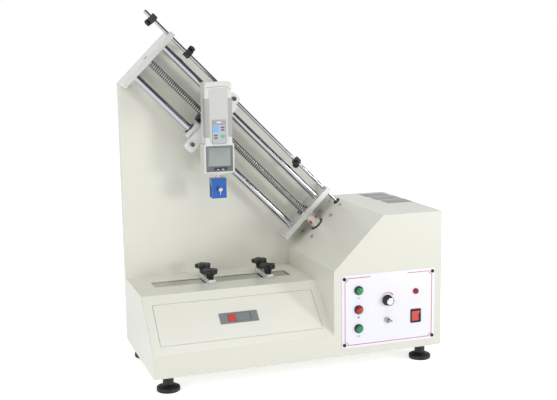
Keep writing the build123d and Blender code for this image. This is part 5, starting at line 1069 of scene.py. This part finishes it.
def build_back():
    """The mains inlet's three blades."""
    low, high = box_mm("mains_inlet")
    x = (low[0] + high[0]) / 2
    z = (low[2] + high[2]) / 2 + 9.0
    blades = []
    for dx, dz in ((-7, -2), (7, -2), (0, 2)):
        seat = Place((x + dx, high[1] - 17, z + dz), (0, 1, 0), (-1, 0, 0), (0, 0, 1))
        blades.append(plate(seat, 2.2, 5.2, 13, 0.4, 0.4))
    make_piece("inlet_blades", blades, FINISHES["zinc"], "frame")


def build_stage_shadow_and_blanks():
    """A black strip of painted shadow round the stage's opening, for the shade in the gap between plate and
    deck, and three blank plates in a row on the cabinet's top.
    """
    stage_low, stage_high = box_mm("stage_plate")
    wide = stage_high[0] - stage_low[0] - 2 * STAGE_LIP
    deep = stage_high[1] - stage_low[1] - 2 * STAGE_LIP
    middle = (stage_low + stage_high) / 2
    seat = Place((middle[0], middle[1], stage_high[2]), (0, 0, 1), (1, 0, 0), (0, 1, 0))
    # Painted shadow: a black strip on the deck round the opening stands in for the shadow gap.
    edge = band(seat, rounded_outline(wide - 1.2, deep - 1.2, 0.8, 4), 1.1, 0.35, True)
    make_piece("stage_shadow_strip", [edge], FINISHES["rubber"], "frame")
    low, high = box_mm("control_cabinet")
    plates = []
    for number in range(3):
        x = high[0] - BLANK_FIRST[0] - BLANK_STEP[0] * number
        y = low[1] + BLANK_FIRST[1] + BLANK_STEP[1] * number
        seat = Place((x, y, high[2]), (0, 0, 1), (1, 0, 0), (0, 1, 0))
        plates.append(plate(seat, *BLANK_SIZE, 0.4, 2.5, 0.15))
    make_piece("blank_plates", plates, FINISHES["label"], "frame")


# Studio
CAMERA_AT = (-0.6900, -1.99225, 0.7050)
CAMERA_TURN = 19.0
CAMERA_DIP = 9.23
CAMERA_ROLL = -0.80
LENS = 62.37


def build_camera():
    """The photograph's view: turned right, dipped and rolled by the angles fitted to it."""
    turn, dip, roll = (math.radians(v) for v in (CAMERA_TURN, CAMERA_DIP, CAMERA_ROLL))
    ahead = Vector((math.sin(turn) * math.cos(dip), math.cos(turn) * math.cos(dip), -math.sin(dip)))
    level = Vector((math.cos(turn), -math.sin(turn), 0))
    upright = level.cross(ahead)
    right = math.cos(roll) * level + math.sin(roll) * upright
    up = -math.sin(roll) * level + math.cos(roll) * upright
    data = bpy.data.cameras.new("photo_camera")
    data.sensor_width = 36
    data.lens = LENS
    data.clip_start, data.clip_end = 0.05, 50
    camera = bpy.data.objects.new("photo_camera", data)
    bpy.context.scene.collection.objects.link(camera)
    matrix = Matrix((right, up, -ahead)).transposed().to_4x4()
    matrix.translation = CAMERA_AT
    camera.matrix_world = matrix
    bpy.context.scene.camera = camera


def add_lamp(name, at, target, size, power, colour=(1, 1, 1)):
    """An area lamp at one point, turned to face another."""
    data = bpy.data.lights.new(name, "AREA")
    data.shape = "RECTANGLE"
    data.size, data.size_y = size
    data.energy = power
    data.color = colour
    lamp = bpy.data.objects.new(name, data)
    lamp.location = at
    lamp.rotation_euler = (Vector(target) - Vector(at)).to_track_quat("-Z", "Y").to_euler()
    bpy.context.scene.collection.objects.link(lamp)


def seen_rays(tree):
    """One for camera, glossy and transmission rays."""
    path = tree.nodes.new("ShaderNodeLightPath")
    seen = math_node(tree, "MAXIMUM", path.outputs["Is Camera Ray"], path.outputs["Is Transmission Ray"])
    return math_node(tree, "MAXIMUM", seen, path.outputs["Is Glossy Ray"]), path


def build_world(ambient):
    """White behind the machine for the camera and for reflections, darker in front of it for reflections
    only, and a plain even light for everything else."""
    world = bpy.data.worlds.new("studio")
    bpy.context.scene.world = world
    world.use_nodes = True
    tree = world.node_tree
    background = tree.nodes["Background"]
    background.inputs["Color"].default_value = (1, 1, 1, 1)
    seen, path = seen_rays(tree)
    place = tree.nodes.new("ShaderNodeTexCoord")
    split = tree.nodes.new("ShaderNodeSeparateXYZ")
    tree.links.new(place.outputs["Generated"], split.inputs[0])
    shade = tree.nodes.new("ShaderNodeMapRange")
    shade.inputs["From Min"].default_value = -0.35
    shade.inputs["From Max"].default_value = 0.45
    tree.links.new(split.outputs["Y"], shade.inputs["Value"])
    roof = tree.nodes.new("ShaderNodeMapRange")
    roof.inputs["From Min"].default_value = 0.75
    roof.inputs["From Max"].default_value = 0.35
    tree.links.new(split.outputs["Z"], roof.inputs["Value"])
    sweep = math_node(tree, "MULTIPLY", math_node(tree, "MULTIPLY", shade.outputs[0], roof.outputs[0]), 0.88)
    mirrored = math_node(tree, "MAXIMUM", math_node(tree, "ADD", sweep, 0.12), path.outputs["Is Camera Ray"])
    mix = tree.nodes.new("ShaderNodeMix")
    mix.inputs["A"].default_value = ambient
    tree.links.new(seen, mix.inputs["Factor"])
    tree.links.new(mirrored, mix.inputs["B"])
    tree.links.new(mix.outputs["Result"], background.inputs["Strength"])


def build_floor():
    """A plain pale floor that keeps the machine's shadow."""
    material = bpy.data.materials.new("studio_floor")
    material.use_nodes = True
    tree = material.node_tree
    shader = tree.nodes["Principled BSDF"]
    shader.inputs["Base Color"].default_value = (0.93, 0.93, 0.93, 1)
    shader.inputs["Roughness"].default_value = 0.9
    shader.inputs["Specular IOR Level"].default_value = 0.1
    shader.inputs["Emission Color"].default_value = (1, 1, 1, 1)
    seen, _ = seen_rays(tree)
    tree.links.new(math_node(tree, "MULTIPLY", seen, 0.62), shader.inputs["Emission Strength"])
    mesh = bpy.data.meshes.new("floor")
    side = 12.0
    corners = [(-side, -side, 0), (side, -side, 0), (side, side, 0), (-side, side, 0)]
    mesh.from_pydata(corners, [], [(0, 1, 2, 3)])
    mesh.materials.append(material)
    floor = bpy.data.objects.new("floor", mesh)
    bpy.context.scene.collection.objects.link(floor)


def build_stage():
    """View transform, camera, world, floor and the three lamps."""
    studio = bpy.context.scene.peel_studio
    bpy.context.scene.view_settings.view_transform = "Standard"
    build_camera()
    build_world(studio.ambient)
    build_floor()
    add_lamp("key", (1.75, -2.0, 0.52), (-0.05, 0.1, 0.42), (0.5, 0.5), studio.key)
    add_lamp("fill", (-2.2, -1.5, 0.9), (-0.1, 0.0, 0.3), (1.4, 1.4), studio.fill)
    add_lamp("top", (0.1, -1.1, 2.4), (0, 0, 0.3), (1.8, 0.9), studio.top)


# Settings, operators and panel
def colour_property(name, description, default):
    """A colour setting of the panel."""
    return bpy.props.FloatVectorProperty(name=name, description=description, subtype="COLOR", size=3, min=0,
                                         max=1, default=default)


class PeelTesterColours(bpy.types.PropertyGroup):
    """Colours of the machine's main finishes."""
    cream: colour_property("Cream", "Powder coat of the body", (0.735, 0.735, 0.655))
    plate: colour_property("Control plate", "Painted face of the control plate", (0.80, 0.80, 0.875))
    gauge: colour_property("Gauge", "Moulding of the force gauge", (0.70, 0.70, 0.67))
    grip: colour_property("Grip", "Anodising of the peel grip", (0.012, 0.125, 0.50))
    green: colour_property("Green caps", "Up and down buttons", (0.002, 0.27, 0.075))
    red: colour_property("Red caps", "Stop button and latch button", (0.50, 0.008, 0.008))


class PeelTesterSizes(bpy.types.PropertyGroup):
    """Sizes of the finer pieces."""
    thread_pitch: bpy.props.FloatProperty(name="Thread pitch", description="Lead of the drive screw's groove",
                                          default=0.005, min=0.002, max=0.02, precision=4, unit="LENGTH")
    thread_depth: bpy.props.FloatProperty(name="Thread depth",
                                          description="Depth of the drive screw's groove",
                                          default=0.0013, min=0.0002, max=0.003, precision=4, unit="LENGTH")
    star_knob_radius: bpy.props.FloatProperty(name="Star knob radius",
                                              description="Reach of a star knob's lobes",
                                              default=0.019, min=0.012, max=0.019, precision=4, unit="LENGTH")
    star_knob_lobes: bpy.props.IntProperty(name="Star knob lobes",
                                           description="Number of lobes on a star knob",
                                           default=5, min=3, max=8)
    screen_rim: bpy.props.FloatProperty(name="Screen rim", description="Width of the frame round the display",
                                        default=0.0035, min=0.001, max=0.01, precision=4, unit="LENGTH")


class PeelTesterStudio(bpy.types.PropertyGroup):
    """Strengths of the studio's lights."""
    key: bpy.props.FloatProperty(name="Key", description="Power of the lamp at the front right", default=20.0,
                                 min=0, unit="POWER")
    fill: bpy.props.FloatProperty(name="Fill", description="Power of the lamp at the left", default=20.0,
                                  min=0,
                                  unit="POWER")
    top: bpy.props.FloatProperty(name="Top", description="Power of the lamp overhead", default=18.0, min=0,
                                 unit="POWER")
    ambient: bpy.props.FloatProperty(name="Ambient", description="Even light from all round", default=0.46,
                                     min=0,
                                     max=2)


class PEEL_OT_stage(bpy.types.Operator):
    """Adds the floor, world, lamps and camera"""
    bl_idname = "peel.stage"
    bl_label = "Studio"

    def execute(self, context):
        build_stage()
        return {"FINISHED"}


class PEEL_OT_finishes(bpy.types.Operator):
    """Gives the carried-over CAD nodes their finishes"""
    bl_idname = "peel.finishes"
    bl_label = "Finishes"

    def execute(self, context):
        give_finishes()
        return {"FINISHED"}


class PEEL_OT_slide(bpy.types.Operator):
    """Builds the rods, the drive screw and the small pieces of the coupling"""
    bl_idname = "peel.slide"
    bl_label = "Slide"

    def execute(self, context):
        build_slide()
        return {"FINISHED"}


class PEEL_OT_collars(bpy.types.Operator):
    """Builds the knurled thumb screws of the stop collars"""
    bl_idname = "peel.collars"
    bl_label = "Thumb screws"

    def execute(self, context):
        build_collar_screws()
        return {"FINISHED"}


class PEEL_OT_knobs(bpy.types.Operator):
    """Builds the star knobs of the clamp bars"""
    bl_idname = "peel.knobs"
    bl_label = "Star knobs"

    def execute(self, context):
        build_star_knobs()
        return {"FINISHED"}


class PEEL_OT_gauge(bpy.types.Operator):
    """Builds the gauge's face, display, keypad and side grips"""
    bl_idname = "peel.gauge"
    bl_label = "Force gauge"

    def execute(self, context):
        build_gauge()
        return {"FINISHED"}


class PEEL_OT_grip(bpy.types.Operator):
    """Builds the thumb screw of the peel grip"""
    bl_idname = "peel.grip"
    bl_label = "Grip"

    def execute(self, context):
        build_grip()
        return {"FINISHED"}


class PEEL_OT_controls(bpy.types.Operator):
    """Builds the buttons, knob, toggle, lamp, rocker frame and print"""
    bl_idname = "peel.controls"
    bl_label = "Controls"

    def execute(self, context):
        build_controls()
        return {"FINISHED"}


class PEEL_OT_feet(bpy.types.Operator):
    """Builds the levelling feet"""
    bl_idname = "peel.feet"
    bl_label = "Feet"

    def execute(self, context):
        build_feet()
        return {"FINISHED"}


class PEEL_OT_screws(bpy.types.Operator):
    """Builds the screws with their recesses"""
    bl_idname = "peel.screws"
    bl_label = "Screws"

    def execute(self, context):
        build_screws()
        return {"FINISHED"}


class PEEL_OT_trim(bpy.types.Operator):
    """Builds the strip of painted shadow round the stage's opening and the blank plates on the cabinet"""
    bl_idname = "peel.trim"
    bl_label = "Trim"

    def execute(self, context):
        build_stage_shadow_and_blanks()
        return {"FINISHED"}


class PEEL_OT_back(bpy.types.Operator):
    """Builds the blades of the mains inlet"""
    bl_idname = "peel.back"
    bl_label = "Back"

    def execute(self, context):
        build_back()
        return {"FINISHED"}


OPERATORS = [PEEL_OT_stage, PEEL_OT_finishes, PEEL_OT_slide, PEEL_OT_collars, PEEL_OT_knobs, PEEL_OT_gauge,
             PEEL_OT_grip, PEEL_OT_controls, PEEL_OT_feet, PEEL_OT_screws, PEEL_OT_trim, PEEL_OT_back]


class PEEL_PT_panel(bpy.types.Panel):
    """Lists the building steps of the peel tester."""
    bl_label = "Peel tester"
    bl_space_type = "VIEW_3D"
    bl_region_type = "UI"
    bl_category = "Peel tester"

    def draw(self, context):
        for made in OPERATORS:
            self.layout.operator(made.bl_idname)
        for group in (context.scene.peel_colours, context.scene.peel_sizes, context.scene.peel_studio):
            box = self.layout.box()
            for key in group.bl_rna.properties.keys():
                if key not in ("rna_type", "name"):
                    box.prop(group, key)


CLASSES = [PeelTesterColours, PeelTesterSizes, PeelTesterStudio, *OPERATORS, PEEL_PT_panel]


def register():
    for made in CLASSES:
        bpy.utils.register_class(made)
    bpy.types.Scene.peel_colours = bpy.props.PointerProperty(type=PeelTesterColours)
    bpy.types.Scene.peel_sizes = bpy.props.PointerProperty(type=PeelTesterSizes)
    bpy.types.Scene.peel_studio = bpy.props.PointerProperty(type=PeelTesterStudio)


def unregister():
    for name in ("peel_colours", "peel_sizes", "peel_studio"):
        delattr(bpy.types.Scene, name)
    for made in reversed(CLASSES):
        bpy.utils.unregister_class(made)


def main():
    register()
    bpy.ops.peel.stage()
    bpy.ops.peel.finishes()
    bpy.ops.peel.slide()
    bpy.ops.peel.collars()
    bpy.ops.peel.knobs()
    bpy.ops.peel.gauge()
    bpy.ops.peel.grip()
    bpy.ops.peel.controls()
    bpy.ops.peel.feet()
    bpy.ops.peel.screws()
    bpy.ops.peel.trim()
    bpy.ops.peel.back()


if __name__ == "__main__":
    main()
